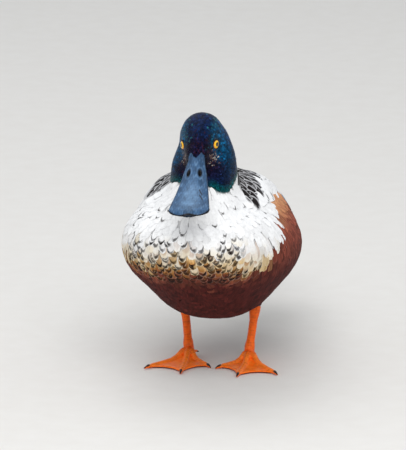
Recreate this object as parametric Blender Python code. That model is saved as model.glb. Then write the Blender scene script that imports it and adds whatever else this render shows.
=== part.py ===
"""A drake northern shoveler, standing at rest with its neck drawn in, as a still life-size model.

The duck faces -Y and +Z is up. Everything is laid out from a point on the floor midway between the
two foot joints, and at the end the whole bird is moved so that the middle of its box is the origin.
The trunk, neck and head are modelled as one smooth body, which thin cuts then part into its pieces.
"""

import math

import bmesh
import bpy
from mathutils import Matrix, Vector

# --- Driving sizes, in metres and degrees -------------------------------------------------------

GAP = 0.0003  # left between pieces that meet

TRUNK_WIDEST = -0.030  # where along Y the trunk is thickest
TRUNK_AXIS_HEIGHT = 0.0975  # of the trunk's long axis there
BREAST_LENGTH = 0.099  # from there forward to the breast
RUMP_LENGTH = 0.163  # from there back to the end of the tail coverts
BREAST_UP = 0.19  # slope of the long axis up towards the breast
TAIL_UP = 0.010  # how far the axis curves up again towards the tail

# The trunk's sections are two shapes run together: broad flanks, and a tall narrow keel and mantle.
FLANKS = {"half_width": 0.0630, "rise": 0.045, "sink": 0.044, "nose": (2.4, 0.52), "powers": (1.85, 2.1)}
KEEL = {"half_width": 0.0500, "rise": 0.058, "sink": 0.0580, "nose": (1.7, 0.75), "powers": (2.4, 2.4)}
SECTION_BLEND = 0.003

HEAD_SEAT = Vector((0.0028, -0.086, 0.1851))  # midway between the eyes
HEAD_PITCH = -14.0
HEAD_TURN = 5.0
HEAD_TILT = 3.0
HEAD_HALF_WIDTH = 0.0168
HEAD_RISE = 0.0213
HEAD_SINK = 0.0205
FACE_LENGTH = 0.048  # from the widest part of the head to where its sides would meet in the bill
NAPE_LENGTH = 0.022
HEAD_WIDEST = -0.014  # that widest part, from the eyes
EYE_LEVEL = 0.005  # of the eyes above the head's long axis

EYE_RADIUS = 0.0047
EYE_OUT = 0.0094  # from the middle of the head to each eye's centre

BILL_ROOT = 0.017  # where the bill starts inside the face, from the eyes
BILL_BASE = 0.0225  # where it leaves the feathers
BILL_TIP = 0.0845
BILL_BASE_HALF_WIDTH = 0.0061
BILL_TIP_HALF_WIDTH = 0.0150
BILL_BASE_TOP = 0.0020  # the top of the bill where it leaves the feathers, above the eyes
BILL_BASE_DEPTH = 0.0100
BILL_TIP_DEPTH = 0.0032
BILL_TIP_TOP = -0.0118
LOWER_BILL_INSET = 0.0013

WING_FRONT = -0.072
WING_LENGTH = 0.235
WING_REACH = 0.205  # the rump length of the wider body that the folded wings follow
WING_SWELL = 0.0016
WING_BED = 0.0034
WING_EDGE = 0.0007

TAIL_ROOT = Vector((0.0, 0.094, 0.0880))
TAIL_LENGTH = 0.086
TAIL_FEATHERS = 14
TAIL_HALF_ANGLE = 15.0
TAIL_DROOP = 10.0
TAIL_THICKNESS = 0.0050

FOOT_SPREAD = 0.0230  # from the middle of the bird to each foot joint
FOOT_JOINT_HEIGHT = 0.0085
HOCK_HEIGHT = 0.041
HOCK_BACK = 0.008
LEG_RADIUS = 0.0030
TOE_RADIUS = 0.0021
WEB_THICKNESS = 0.0011
MIDDLE_TOE = 0.0435
OUTER_TOE = 0.042
INNER_TOE = 0.030

BODY_VOXEL = 0.0023
BODY_TRIANGLES = 2150


# --- Colours of the live bird -------------------------------------------------------------------

def material(name, colour, roughness, metallic=0.0):
    made = bpy.data.materials.new(name)
    made.use_nodes = True
    shader = made.node_tree.nodes["Principled BSDF"]
    shader.inputs["Base Color"].default_value = (*colour, 1.0)
    shader.inputs["Roughness"].default_value = roughness
    shader.inputs["Metallic"].default_value = metallic
    return made


def all_materials():
    return {
        "green": material("bottle_green_feather", (0.012, 0.085, 0.075), 0.35),
        "white": material("white_feather", (0.83, 0.82, 0.79), 0.8),
        "dark": material("blackish_feather", (0.045, 0.04, 0.035), 0.7),
        "tail": material("pale_grey_feather", (0.55, 0.52, 0.47), 0.75),
        "chestnut": material("chestnut_feather", (0.20, 0.055, 0.025), 0.8),
        "bill": material("slate_bill", (0.085, 0.13, 0.18), 0.45),
        "eye": material("yellow_eye", (0.85, 0.50, 0.02), 0.1),
        "orange": material("orange_leg", (0.80, 0.16, 0.02), 0.5),
    }


# --- Small tools --------------------------------------------------------------------------------

def mix(a, b, t):
    return a + (b - a) * t


def ease(t):
    """0 to 1 with level ends, for t outside that range too."""
    t = min(max(t, 0.0), 1.0)
    return t * t * (3.0 - 2.0 * t)


def bow(u, power, end):
    """1 at u = 0 and 0 at u = 1; end under 1 makes a blunt nose, and over 1 a thin one."""
    return max(0.0, 1.0 - min(abs(u), 1.0) ** power) ** end


def keyed(stations, at):
    """A smooth value between (place, value) stations, which are in order of place."""
    if at <= stations[0][0]:
        return stations[0][1]
    for (a, low), (b, high) in zip(stations, stations[1:]):
        if at <= b:
            return mix(low, high, ease((at - a) / (b - a)))
    return stations[-1][1]


def object_of(name, mesh_maker):
    """A new object with the mesh that mesh_maker(bm) builds, facing outwards."""
    bm = bmesh.new()
    mesh_maker(bm)
    bmesh.ops.recalc_face_normals(bm, faces=bm.faces)
    mesh = bpy.data.meshes.new(name)
    bm.to_mesh(mesh)
    bm.free()
    made = bpy.data.objects.new(name, mesh)
    bpy.context.scene.collection.objects.link(made)
    return made


def skin_rings(bm, rings, sheet=False):
    """Closes a row of rings of points, each with as many points, into a body.

    Each end is one flat face, or for a sheet a strip between its ring's first half and its second.
    """
    loops = [[bm.verts.new(p) for p in ring] for ring in rings]
    count = len(loops[0])
    for low, high in zip(loops, loops[1:]):
        for i in range(count):
            j = (i + 1) % count
            bm.faces.new((low[i], low[j], high[j]))
            bm.faces.new((low[i], high[j], high[i]))
    for loop in (loops[0], loops[-1]):
        if not sheet:
            bm.faces.new(loop)
            continue
        for i in range(count // 2 - 1):
            a, b, c, d = loop[i], loop[i + 1], loop[count - 2 - i], loop[count - 1 - i]
            bm.faces.new((a, b, d))
            bm.faces.new((b, c, d))


def loft(name, rings, sheet=False):
    return object_of(name, lambda bm: skin_rings(bm, rings, sheet))


def settle(obj):
    """Gives an object the mesh that its modifiers make, and drops them."""
    graph = bpy.context.evaluated_depsgraph_get()
    mesh = bpy.data.meshes.new_from_object(obj.evaluated_get(graph))
    obj.modifiers.clear()
    obj.data = mesh
    return obj


def boolean(obj, other, operation):
    cut = obj.modifiers.new(operation.lower(), "BOOLEAN")
    cut.operation = operation
    cut.object = other
    cut.solver = "EXACT"
    bpy.context.view_layer.update()
    return settle(obj)


def discard(*objects):
    for obj in objects:
        bpy.data.objects.remove(obj)


def duplicate(obj, name):
    made = bpy.data.objects.new(name, obj.data.copy())
    bpy.context.scene.collection.objects.link(made)
    return made


def joined(name, objects):
    """One object that holds the meshes of several, which are discarded."""
    bm = bmesh.new()
    for obj in objects:
        bm.from_mesh(obj.data)
    mesh = bpy.data.meshes.new(name)
    bm.to_mesh(mesh)
    bm.free()
    discard(*objects)
    made = bpy.data.objects.new(name, mesh)
    bpy.context.scene.collection.objects.link(made)
    return made


def united(name, objects):
    """One closed body made of several that overlap."""
    whole = objects[0]
    whole.name = name
    for obj in objects[1:]:
        boolean(whole, obj, "UNION")
        discard(obj)
    return whole


def trim(obj, point, normal):
    """Cuts away whatever lies beyond a plane, on the side its normal points to, and closes the cut."""
    bm = bmesh.new()
    bm.from_mesh(obj.data)
    everything = bm.verts[:] + bm.edges[:] + bm.faces[:]
    cut = bmesh.ops.bisect_plane(
        bm, geom=everything, dist=1e-6, plane_co=point, plane_no=normal, clear_outer=True
    )["geom_cut"]
    bmesh.ops.edgeloop_fill(bm, edges=[e for e in cut if isinstance(e, bmesh.types.BMEdge)])
    bmesh.ops.dissolve_degenerate(bm, dist=2e-5, edges=bm.edges)
    bmesh.ops.triangulate(bm, faces=bm.faces)
    bmesh.ops.recalc_face_normals(bm, faces=bm.faces)
    bm.to_mesh(obj.data)
    bm.free()


def finish(obj, colour, smooth_angle=50.0):
    obj.data.materials.clear()
    obj.data.materials.append(colour)
    obj.data.shade_smooth()
    obj.data.set_sharp_from_angle(angle=math.radians(smooth_angle))
    return obj


# --- Egg shapes: trunk and head -----------------------------------------------------------------

def reach_of(angle, half_width, rise, sink, power):
    """How far a section reaches from its middle, at an angle from straight up."""
    side, up = abs(math.sin(angle)), math.cos(angle)
    height = rise if up > 0 else sink
    return ((side / half_width) ** power + (abs(up) / height) ** power) ** (-1.0 / power)


def egg_spacing(count):
    """Places from -1 to 1 that crowd towards both ends, where an egg turns fastest."""
    return [-math.cos(math.pi * i / count) for i in range(count + 1)]


def shape_reach(shape, y, angle, rump_length):
    """The reach of one of the trunk's two shapes, which is next to nothing beyond its ends."""
    if y < TRUNK_WIDEST:
        u = (TRUNK_WIDEST - y) / BREAST_LENGTH
        shares = [bow(u, *shape["nose"])] * 3
    else:
        u = (y - TRUNK_WIDEST) / rump_length
        shares = bow(u, 2.1, 0.72), bow(u, 1.9, 0.95), bow(u, 2.0, 0.90)
    sizes = [max(share * shape[key], 1e-6) for share, key in zip(shares, ("half_width", "rise", "sink"))]
    return reach_of(angle, *sizes, shape["powers"][0 if math.cos(angle) > 0 else 1])


def trunk_axis(y):
    """Height of the trunk's long axis."""
    u = max(0.0, (y - TRUNK_WIDEST) / RUMP_LENGTH)
    return TRUNK_AXIS_HEIGHT - BREAST_UP * (y - TRUNK_WIDEST) + TAIL_UP * u * u


def trunk_point(y, angle, rump_length=RUMP_LENGTH, grow=0.0):
    """A point of the trunk's surface, at an angle from straight up and towards +X."""
    low, high = sorted(shape_reach(shape, y, angle, rump_length) for shape in (FLANKS, KEEL))
    reach = high + SECTION_BLEND * math.log(1.0 + math.exp((low - high) / SECTION_BLEND)) + grow
    return Vector((reach * math.sin(angle), y, trunk_axis(y) + reach * math.cos(angle)))


def make_trunk():
    middle = TRUNK_WIDEST + (RUMP_LENGTH - BREAST_LENGTH) / 2
    half = (RUMP_LENGTH + BREAST_LENGTH) / 2
    around = 48
    rings = []
    for t in egg_spacing(48)[1:-1]:
        y = middle + half * t
        rings.append([trunk_point(y, 2 * math.pi * i / around) for i in range(around)])
    return loft("trunk_shape", rings)


def head_frame():
    """Turns the head's own axes, forward +X, left +Y and up +Z with the eyes at 0, into the bird's."""
    facing = Matrix.Rotation(math.radians(-90.0 + HEAD_TURN), 4, "Z")
    pitch = Matrix.Rotation(math.radians(-HEAD_PITCH), 4, "Y")
    tilt = Matrix.Rotation(math.radians(HEAD_TILT), 4, "X")
    return Matrix.Translation(HEAD_SEAT) @ facing @ pitch @ tilt


def make_head():
    frame = head_frame()
    around = 32
    rings = []
    for t in egg_spacing(30)[1:-1]:
        ahead = t * (FACE_LENGTH + NAPE_LENGTH) / 2 + (FACE_LENGTH - NAPE_LENGTH) / 2
        if ahead < 0:
            u = ahead / NAPE_LENGTH
            shares = [bow(u, 2.3, 0.5)] * 3
        else:
            u = ahead / FACE_LENGTH
            shares = [bow(u, 1.1, 0.8), bow(u, 1.7, 0.95), bow(u, 1.8, 1.0)]
        sizes = [size * share for size, share in zip((HEAD_HALF_WIDTH, HEAD_RISE, HEAD_SINK), shares)]
        ring = []
        for i in range(around):
            angle = 2 * math.pi * i / around
            reach = reach_of(angle, *sizes, 2.15)
            side, up = reach * math.sin(angle), reach * math.cos(angle)
            ring.append(frame @ Vector((HEAD_WIDEST + ahead, -side, up - EYE_LEVEL)))
        rings.append(ring)
    return loft("head_shape", rings)


def make_neck():
    """The drawn-in neck: a short thick column, flared where it runs out onto the shoulders."""
    stations = [  # height, half width, half depth, place along Y, place along X
        (0.118, 0.046, 0.045, -0.080, 0.0000),
        (0.140, 0.031, 0.043, -0.078, 0.0015),
        (0.151, 0.0247, 0.037, -0.075, 0.0035),
        (0.161, 0.0240, 0.032, -0.075, 0.0040),
        (0.169, 0.0237, 0.028, -0.075, 0.0040),
        (0.177, 0.0213, 0.022, -0.071, 0.0042),
        (0.188, 0.0158, 0.016, -0.066, 0.0042),
        (0.198, 0.0100, 0.010, -0.065, 0.0035),
    ]
    around = 32
    rings = []
    steps = 24
    for k in range(steps + 1):
        z = mix(stations[0][0], stations[-1][0], k / steps)
        half_width, half_depth, y, x = (
            keyed([(s[0], s[n]) for s in stations], z) for n in (1, 2, 3, 4)
        )
        ring = []
        for i in range(around):
            a = 2 * math.pi * i / around
            ring.append(Vector((x + half_width * math.sin(a), y + half_depth * math.cos(a), z)))
        rings.append(ring)
    return loft("neck_shape", rings)


def smooth_body():
    """Trunk, neck and head run together into one smooth closed body."""
    body = joined("body_shape", [make_trunk(), make_neck(), make_head()])
    remesh = body.modifiers.new("merge", "REMESH")
    remesh.mode = "VOXEL"
    remesh.voxel_size = BODY_VOXEL
    blend = body.modifiers.new("blend", "SMOOTH")
    blend.factor = 0.5
    blend.iterations = 10
    bpy.context.view_layer.update()
    settle(body)
    thin = body.modifiers.new("thin", "DECIMATE")
    thin.ratio = BODY_TRIANGLES / (2.0 * len(body.data.polygons))
    bpy.context.view_layer.update()
    return settle(body)


# --- Bill and eyes ------------------------------------------------------------------------------

def bill_place(s):
    """Distance in front of the eyes at s, which is 0 where the bill leaves the feathers and 1 at its tip."""
    return mix(BILL_BASE, BILL_TIP, s)


def bill_half_width(s):
    """Half the bill's width: it widens steadily to a broad spoon with a blunt round end."""
    flare = mix(BILL_BASE_HALF_WIDTH, BILL_TIP_HALF_WIDTH, min(max(s, 0.0) / 0.92, 1.0) ** 0.92)
    shoulder = 0.87
    return flare * bow((s - shoulder) / (1 - shoulder), 2.6, 0.5) if s > shoulder else flare


def bill_top(s):
    """Height of the ridge of the bill: a long hollow from the forehead down to the spoon."""
    hollow = 0.0030 * math.sin(math.pi * min(max(s, 0.0), 1.0)) ** 1.2
    return mix(BILL_BASE_TOP, BILL_TIP_TOP, s) - hollow


def bill_line(s):
    """Height of the edge of the upper mandible."""
    return bill_top(s) - mix(BILL_BASE_DEPTH, BILL_TIP_DEPTH, ease(s * 1.15) ** 0.8)


def bill_rings(s_values, half_width, top, bottom, crown_power, grow=0.0):
    """Rings of a lens with a domed top, a flat underside and a thin rim, in the bird's frame."""
    frame = head_frame()
    across = 9
    rings = []
    for s in s_values:
        x, w, high, low = bill_place(s), half_width(s) + grow, top(s) + grow, bottom(s) - grow
        rim = 0.28 * (high - low)
        ring = []
        for i in range(across + 1):
            a = math.pi * i / across
            ring.append(Vector((x, w * math.cos(a), low + rim + (high - low - rim) * math.sin(a) ** crown_power)))
        for i in range(4):
            ring.append(Vector((x, -w * math.cos(math.pi * i / 3) * 0.985, low)))
        rings.append([frame @ p for p in ring])
    return rings


def upper_bill_rings(s_values, grow=0.0):
    return bill_rings(
        s_values,
        bill_half_width,
        lambda s: bill_line(s) + max((bill_top(s) - bill_line(s)) * bow(s, 16.0, 0.5), 0.0012),
        bill_line,
        0.8,
        grow,
    )


def lower_bill_rings(s_values, grow=0.0):
    return bill_rings(
        s_values,
        lambda s: (bill_half_width(min(s + 0.03, 1.0)) - LOWER_BILL_INSET) * bow(s, 26.0, 0.5),
        lambda s: bill_line(s) - GAP,
        lambda s: bill_line(s) - GAP - mix(0.0046, 0.0019, ease(s * 1.3)),
        0.9,
        grow,
    )


def make_bill():
    steps = 14
    root = (BILL_ROOT - BILL_BASE) / (BILL_TIP - BILL_BASE)
    places = [mix(root, 0.997, 1 - (1 - k / steps) ** 1.35) for k in range(steps + 1)]
    upper = loft("bill_upper", upper_bill_rings(places))
    lower = loft("bill_lower", lower_bill_rings([s if s < 0 else 0.965 * s for s in places]))
    return upper, lower


def bill_room(rings_maker):
    """The root of a mandible, a gap wider all round, to cut its seat in the face."""
    root = (BILL_ROOT - GAP - BILL_BASE) / (BILL_TIP - BILL_BASE)
    return loft("room", rings_maker([mix(root, 0.45, k / 6) for k in range(7)], GAP))


def eye_centre(side):
    return head_frame() @ Vector((0.0, side * EYE_OUT, 0.0))


def make_eye(name, side, radius=EYE_RADIUS):
    def ball(bm):
        bmesh.ops.create_icosphere(bm, subdivisions=2, radius=radius)
        bmesh.ops.translate(bm, verts=bm.verts, vec=eye_centre(side))

    return object_of(name, ball)


# --- Wings and tail -----------------------------------------------------------------------------

def wing_rings(side, grow=0.0):
    """A folded wing: a long cambered leaf that follows the body from the shoulder to past the rump."""
    upper_edge = [(0.0, 48.5), (0.12, 34.0), (0.35, 20.0), (0.7, 13.0), (0.88, 16.0), (1.0, 27.0)]
    lower_edge = [(0.0, 51.0), (0.12, 66.0), (0.35, 76.0), (0.7, 66.0), (0.88, 50.0), (1.0, 33.0)]
    swell = [(0.0, 0.3), (0.2, 1.0), (0.6, 0.9), (1.0, 0.2)]
    steps, across = 18, 6
    rings = []
    for k in range(steps + 1):
        t = k / steps
        y = WING_FRONT + WING_LENGTH * t + grow * (2 * t - 1)
        top, bottom = keyed(upper_edge, t), keyed(lower_edge, t)
        thick = keyed(swell, t)
        reach = mix(RUMP_LENGTH, WING_REACH, ease((t - 0.45) / 0.5))
        ring = []
        for face in (1, -1):
            depth = WING_SWELL if face > 0 else WING_BED
            for i in range(across + 1):
                v = i / across if face > 0 else 1 - i / across
                angle = math.radians(mix(top, bottom, v)) + grow * (2 * v - 1) / 0.055
                crown = math.sqrt(max(0.0, 1 - (2 * v - 1) ** 2))
                point = trunk_point(y, angle, reach, face * (WING_EDGE + depth * thick * crown + grow))
                ring.append(Vector((side * point.x, point.y, point.z)))
        rings.append(ring)
    return rings


def make_wing(name, side, grow=0.0):
    return loft(name, wing_rings(side, grow))


def sheet_ring(over, under):
    """A ring round a thin sheet, from the rows of points over and under it."""
    return over + under[::-1]


def make_tail(name, grow=0.0):
    """A low roof of feathers, wedge ended, with a shallow scallop at the tip of each."""
    along, across = 5, TAIL_FEATHERS * 2
    droop = Matrix.Rotation(math.radians(-TAIL_DROOP), 4, "X")

    def place(u, v, face):
        angle = math.radians(TAIL_HALF_ANGLE) * (2 * v - 1)
        wedge = 1.0 - 0.20 * abs(2 * v - 1) ** 1.3
        scallop = 0.045 * (1 - abs(math.sin(math.pi * TAIL_FEATHERS * v))) * u ** 4
        reach = mix(0.010 - grow, TAIL_LENGTH * (wedge - scallop) + 0.010 + grow, u)
        half = mix(TAIL_THICKNESS, 0.0013, u) / 2 + grow
        x = math.sin(angle) * reach * mix(0.75, 1.0, u) + (0.003 + 1.5 * grow) * (2 * v - 1)
        return TAIL_ROOT + droop @ Vector((x, math.cos(angle) * reach, face * half - 5.5 * x * x))

    rows = [
        [[place(k / along, i / across, face) for i in range(across + 1)] for k in range(along + 1)]
        for face in (1, -1)
    ]
    return loft(name, [sheet_ring(over, under) for over, under in zip(*rows)], sheet=True)


# --- Legs and feet ------------------------------------------------------------------------------

FOOT_TURN = {1: 0.0, -1: 4.0}  # how far each foot's middle toe points to the bird's left
HOCK_OUT = {1: 0.0030, -1: 0.0050}  # how far each hock stands outside its foot joint
SIDES = (("left", 1), ("right", -1))


def foot_joint(side):
    return Vector((side * FOOT_SPREAD, 0.0, FOOT_JOINT_HEIGHT))


def hock(side):
    return Vector((side * (FOOT_SPREAD + HOCK_OUT[side]), HOCK_BACK, HOCK_HEIGHT))


def tube_rings(points, radii, around=10, squash=1.0, frame_up=Vector((1, 0, 0)), floor=None):
    """Rings along a bent line. With a floor, whatever would reach below it is laid flat on it."""
    rings = []
    for k, (centre, radius) in enumerate(zip(points, radii)):
        ahead = points[min(k + 1, len(points) - 1)] - points[max(k - 1, 0)]
        across = frame_up.cross(ahead).normalized()
        over = ahead.cross(across).normalized()
        ring = []
        for i in range(around):
            a = 2 * math.pi * i / around
            p = centre + radius * (squash * math.cos(a) * across + math.sin(a) * over)
            if floor is not None:
                p.z = max(p.z, floor)
            ring.append(p)
        rings.append(ring)
    return rings


def leg_up(side):
    return (hock(side) - foot_joint(side)).normalized()


def make_shank(name, side, grow=0.0):
    """The bare leg, oval in section, knobbed at the hock and at the foot joint."""
    up = leg_up(side)
    low, high = foot_joint(side) + up * (GAP - grow), hock(side) + up * grow
    steps = 9
    points, radii = [], []
    for k in range(steps + 1):
        t = k / steps
        points.append(low.lerp(high, t) + Vector((0, 0.0010 * math.sin(math.pi * t) ** 2, 0)))
        knobs = 0.0010 * bow(t / 0.22, 2, 1) + 0.0013 * bow((1 - t) / 0.3, 2, 1)
        radii.append(LEG_RADIUS + knobs + grow)
    return loft(name, tube_rings(points, radii, squash=1.15))


def make_thigh(name, side, grow=0.0):
    """The short feathered cuff that the leg comes out of."""
    low = hock(side) - leg_up(side) * 0.003
    root = low + Vector((side * -0.0045, -0.014, 0.023))
    steps = 6
    points = [low.lerp(root, k / steps) for k in range(steps + 1)]
    radii = [mix(0.0060, 0.0125, ease(k / steps) ** 0.8) + grow for k in range(steps + 1)]
    cuff = loft(name, tube_rings(points, radii, around=12))
    trim(cuff, hock(side) + leg_up(side) * (GAP - grow), -leg_up(side))
    return cuff


def toe_line(side, length, angle, height=1.0):
    """Points along a toe from the foot joint: down to the floor, then flat along it to the claw."""
    joint = foot_joint(side)
    turned = math.radians(FOOT_TURN[side] + angle)
    ahead = Vector((math.sin(turned), -math.cos(turned), 0.0))
    steps = 7
    points = []
    for k in range(steps + 1):
        t = k / steps
        arch = mix(FOOT_JOINT_HEIGHT - 0.0012, TOE_RADIUS * 0.62, ease(t / 0.42)) * height
        knuckle = 0.0006 * max(0.0, math.sin(3 * math.pi * t)) * (1 - t)
        p = joint + ahead * (length * t)
        p.z = arch + knuckle
        points.append(p)
    return points


def make_toe(side, length, angle):
    points = toe_line(side, length, angle)
    steps = len(points) - 1
    radii = []
    for k in range(steps + 1):
        t = k / steps
        radii.append(mix(TOE_RADIUS * 1.28, TOE_RADIUS * 0.62, t) + 0.0003 * math.sin(3 * math.pi * t) ** 2)
    claw_ahead = (points[-1] - points[-2]).normalized()
    for reach, drop, radius in ((0.0022, 0.0, 0.0010), (0.0044, 0.0005, 0.00045)):
        points.append(points[steps] + claw_ahead * reach - Vector((0, 0, drop)))
        radii.append(radius)
    return loft("toe", tube_rings(points, radii, around=7, frame_up=Vector((0, 0, 1)), floor=0.0))


def make_web(side, first, second):
    """The skin between two toes, (length, angle) each, a sheet with a hollow front edge."""
    lines = [toe_line(side, length, angle) for length, angle in (first, second)]
    steps, across = len(lines[0]) - 1, 3

    def place(k, i, face):
        v = i / across
        reach = 0.97 - 0.13 * (1 - (2 * v - 1) ** 2)
        t = reach * k / steps * steps
        low, high = int(t), min(int(t) + 1, steps)
        a, b = (line[low].lerp(line[high], t - low) for line in lines)
        p = a.lerp(b, v)
        p.z = mix(p.z, 0.0008 + WEB_THICKNESS / 2, 0.35) + face * WEB_THICKNESS / 2
        p.z = max(p.z, 0.0006 + (WEB_THICKNESS if face > 0 else 0.0))
        return p

    rows = [
        [[place(k, i, face) for i in range(across + 1)] for k in range(1, steps + 1)]
        for face in (1, -1)
    ]
    return loft("web", [sheet_ring(over, under) for over, under in zip(*rows)], sheet=True)


def make_foot(name, side):
    """Three webbed front toes and a small raised hind toe, on one flat sole."""
    inner, middle, outer = (INNER_TOE, -36.0 * side), (MIDDLE_TOE, 0.0), (OUTER_TOE, 38.0 * side)
    pieces = [make_toe(side, *toe) for toe in (middle, inner, outer)]
    pieces += [make_web(side, middle, inner), make_web(side, middle, outer)]
    joint = foot_joint(side)
    ankle = [joint + Vector((0, 0.0012 * k, 0.001 - 0.0022 * k)) for k in range(4)]
    pieces.append(loft("ankle", tube_rings(ankle, [0.0036, 0.0040, 0.0038, 0.0026], squash=1.1, floor=0.0)))
    spur = [joint + Vector((-0.0012 * side * k, 0.0026 * k + 0.001, -0.0032 - 0.0006 * k)) for k in range(5)]
    pieces.append(loft("spur", tube_rings(spur, [0.0016, 0.0015, 0.0013, 0.0010, 0.0005], around=8)))
    foot = united(name, pieces)
    trim(foot, foot_joint(side), leg_up(side))
    return foot


# --- Putting the bird together ------------------------------------------------------------------

def part_body(body):
    """The smooth body cut across at the jaw and at the foot of the neck: trunk, neck, head."""
    jaw = Vector((0.0, -0.078, 0.1700)), Vector((0.0, -0.26, 1.0)).normalized()
    shoulder = Vector((0.0, -0.080, 0.1575)), Vector((0.0, -0.10, 1.0)).normalized()
    pieces = {}
    for name, cuts in (
        ("head", [(jaw, -1)]),
        ("neck", [(jaw, 1), (shoulder, -1)]),
        ("trunk", [(shoulder, 1)]),
    ):
        pieces[name] = duplicate(body, name)
        for (point, normal), way in cuts:
            trim(pieces[name], point - normal * way * GAP / 2, normal * way)
    discard(body)
    return pieces


def cut_clear(piece, cutters):
    """Cuts room for neighbours, each given as a maker of its slightly grown shape."""
    for maker in cutters:
        cutter = maker()
        boolean(piece, cutter, "DIFFERENCE")
        discard(cutter)


def build_bird():
    colours = all_materials()
    pieces = part_body(smooth_body())

    cut_clear(pieces["head"], [
        lambda: bill_room(upper_bill_rings),
        lambda: bill_room(lower_bill_rings),
        lambda: make_eye("socket", 1, EYE_RADIUS + GAP),
        lambda: make_eye("socket", -1, EYE_RADIUS + GAP),
    ])
    cut_clear(pieces["trunk"], [
        lambda: make_wing("bed", 1, GAP),
        lambda: make_wing("bed", -1, GAP),
        lambda: make_tail("slot", GAP),
        lambda: make_thigh("cuff_room", 1, GAP),
        lambda: make_thigh("cuff_room", -1, GAP),
        lambda: make_shank("leg_room", 1, GAP),
        lambda: make_shank("leg_room", -1, GAP),
    ])
    finish(pieces["head"], colours["green"])
    finish(pieces["neck"], colours["green"])
    finish(pieces["trunk"], colours["white"])

    upper, lower = make_bill()
    finish(upper, colours["bill"])
    finish(lower, colours["bill"])
    finish(make_tail("tail"), colours["tail"])
    for word, side in SIDES:
        finish(make_eye(f"eye_{word}", side), colours["eye"])
        finish(make_wing(f"wing_{word}", side), colours["dark"])
        finish(make_thigh(f"thigh_{word}", side), colours["chestnut"])
        finish(make_shank(f"leg_{word}", side), colours["orange"])
        finish(make_foot(f"foot_{word}", side), colours["orange"])


def centre_on_origin():
    """Moves the bird so that the middle of its box, at floor level, is the origin."""
    corners = [obj.matrix_world @ Vector(c) for obj in bpy.data.objects for c in obj.bound_box]
    middle = [(min(c[n] for c in corners) + max(c[n] for c in corners)) / 2 for n in (0, 1)]
    root = bpy.data.objects.new("duck", None)
    bpy.context.scene.collection.objects.link(root)
    for obj in list(bpy.data.objects):
        if obj is not root:
            obj.parent = root
    root.location = (-middle[0], -middle[1], 0.0)


for leftover in list(bpy.data.objects):
    bpy.data.objects.remove(leftover)
build_bird()
centre_on_origin()
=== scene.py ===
"""The looks of a standing northern shoveler drake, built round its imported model."""
import math

import bmesh
import bpy
import numpy as np
from mathutils import Matrix, Vector
from mathutils.bvhtree import BVHTree


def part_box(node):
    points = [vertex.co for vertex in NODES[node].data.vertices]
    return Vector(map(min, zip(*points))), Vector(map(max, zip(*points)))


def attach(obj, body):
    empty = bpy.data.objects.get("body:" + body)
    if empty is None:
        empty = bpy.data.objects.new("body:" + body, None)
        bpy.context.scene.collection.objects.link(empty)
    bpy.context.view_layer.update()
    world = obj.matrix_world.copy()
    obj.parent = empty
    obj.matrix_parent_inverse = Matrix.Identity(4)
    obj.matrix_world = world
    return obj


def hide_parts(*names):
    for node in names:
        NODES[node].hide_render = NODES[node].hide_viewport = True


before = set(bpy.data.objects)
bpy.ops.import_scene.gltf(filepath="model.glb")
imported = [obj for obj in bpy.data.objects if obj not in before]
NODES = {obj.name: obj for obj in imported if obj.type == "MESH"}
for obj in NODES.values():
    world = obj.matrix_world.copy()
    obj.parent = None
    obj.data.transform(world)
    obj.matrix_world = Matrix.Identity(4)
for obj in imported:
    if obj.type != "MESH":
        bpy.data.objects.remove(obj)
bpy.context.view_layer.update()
MM = 0.001
rng = np.random.default_rng(11)


# --- Numbers and small tools ---

def box(node):
    low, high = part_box(node)
    return np.array(tuple(low)), np.array(tuple(high))


def centre(node):
    low, high = box(node)
    return (low + high) / 2


def mix(a, b, t):
    return a + (b - a) * t


def ramp(x, start, end):
    """0 before start and 1 after end, smoothly, for numbers and arrays. The two may be in either order."""
    t = np.clip((x - start) / (end - start), 0.0, 1.0)
    return t * t * (3.0 - 2.0 * t)


def bump_at(x, middle, width):
    """1 at middle, falling to 0 a width away on both sides."""
    return ramp(np.abs(x - middle), width, 0.0)


def bow(u, power, end):
    return np.maximum(0.0, 1.0 - np.minimum(np.abs(u), 1.0) ** power) ** end


def unit(v):
    return v / np.maximum(np.linalg.norm(v, axis=-1, keepdims=True), 1e-12)


def dot(a, b):
    return np.sum(a * b, axis=-1, keepdims=True)


def col(*rgb):
    """An sRGB colour, 0 to 255, as the linear numbers that shaders take."""
    c = np.array(rgb) / 255.0
    return np.where(c <= 0.04045, c / 12.92, ((c + 0.055) / 1.055) ** 2.4)


def blend(a, b, t):
    """Colours a and b mixed by t, an array of one number for each point."""
    return a + (b - a) * np.asarray(t)[..., None]


def layered(c, *coats):
    """Colours laid over c one after another. Each coat is a colour and its share at each point."""
    for colour, share in coats:
        c = blend(c, colour, share)
    return c


def each(values):
    """One number for each feather, shaped to spread over its rows and columns."""
    return np.asarray(values)[:, None, None]


def noise(p, scale, seed=0):
    """Smooth noise from -1 to 1, made of a few waves in odd directions."""
    waves = np.random.default_rng(seed).normal(size=(7, 3))
    total = 0.0
    for k, w in enumerate(waves):
        total = total + np.sin(p @ w * (1.0 + 0.25 * k) / scale + 2.4 * k + seed)
    return total / 4.0


def link(obj):
    bpy.context.scene.collection.objects.link(obj)
    return obj


def object_of(name, bm):
    """A linked object made from a bmesh, which is freed."""
    mesh = bpy.data.meshes.new(name)
    bm.to_mesh(mesh)
    bm.free()
    return link(bpy.data.objects.new(name, mesh))


def arrays(mesh):
    """A mesh's points, and the corners of its triangles."""
    points = np.empty(len(mesh.vertices) * 3)
    mesh.vertices.foreach_get("co", points)
    mesh.calc_loop_triangles()
    corners = np.empty(len(mesh.loop_triangles) * 3, dtype=np.int32)
    mesh.loop_triangles.foreach_get("vertices", corners)
    return points.reshape(-1, 3), corners.reshape(-1, 3)


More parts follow.
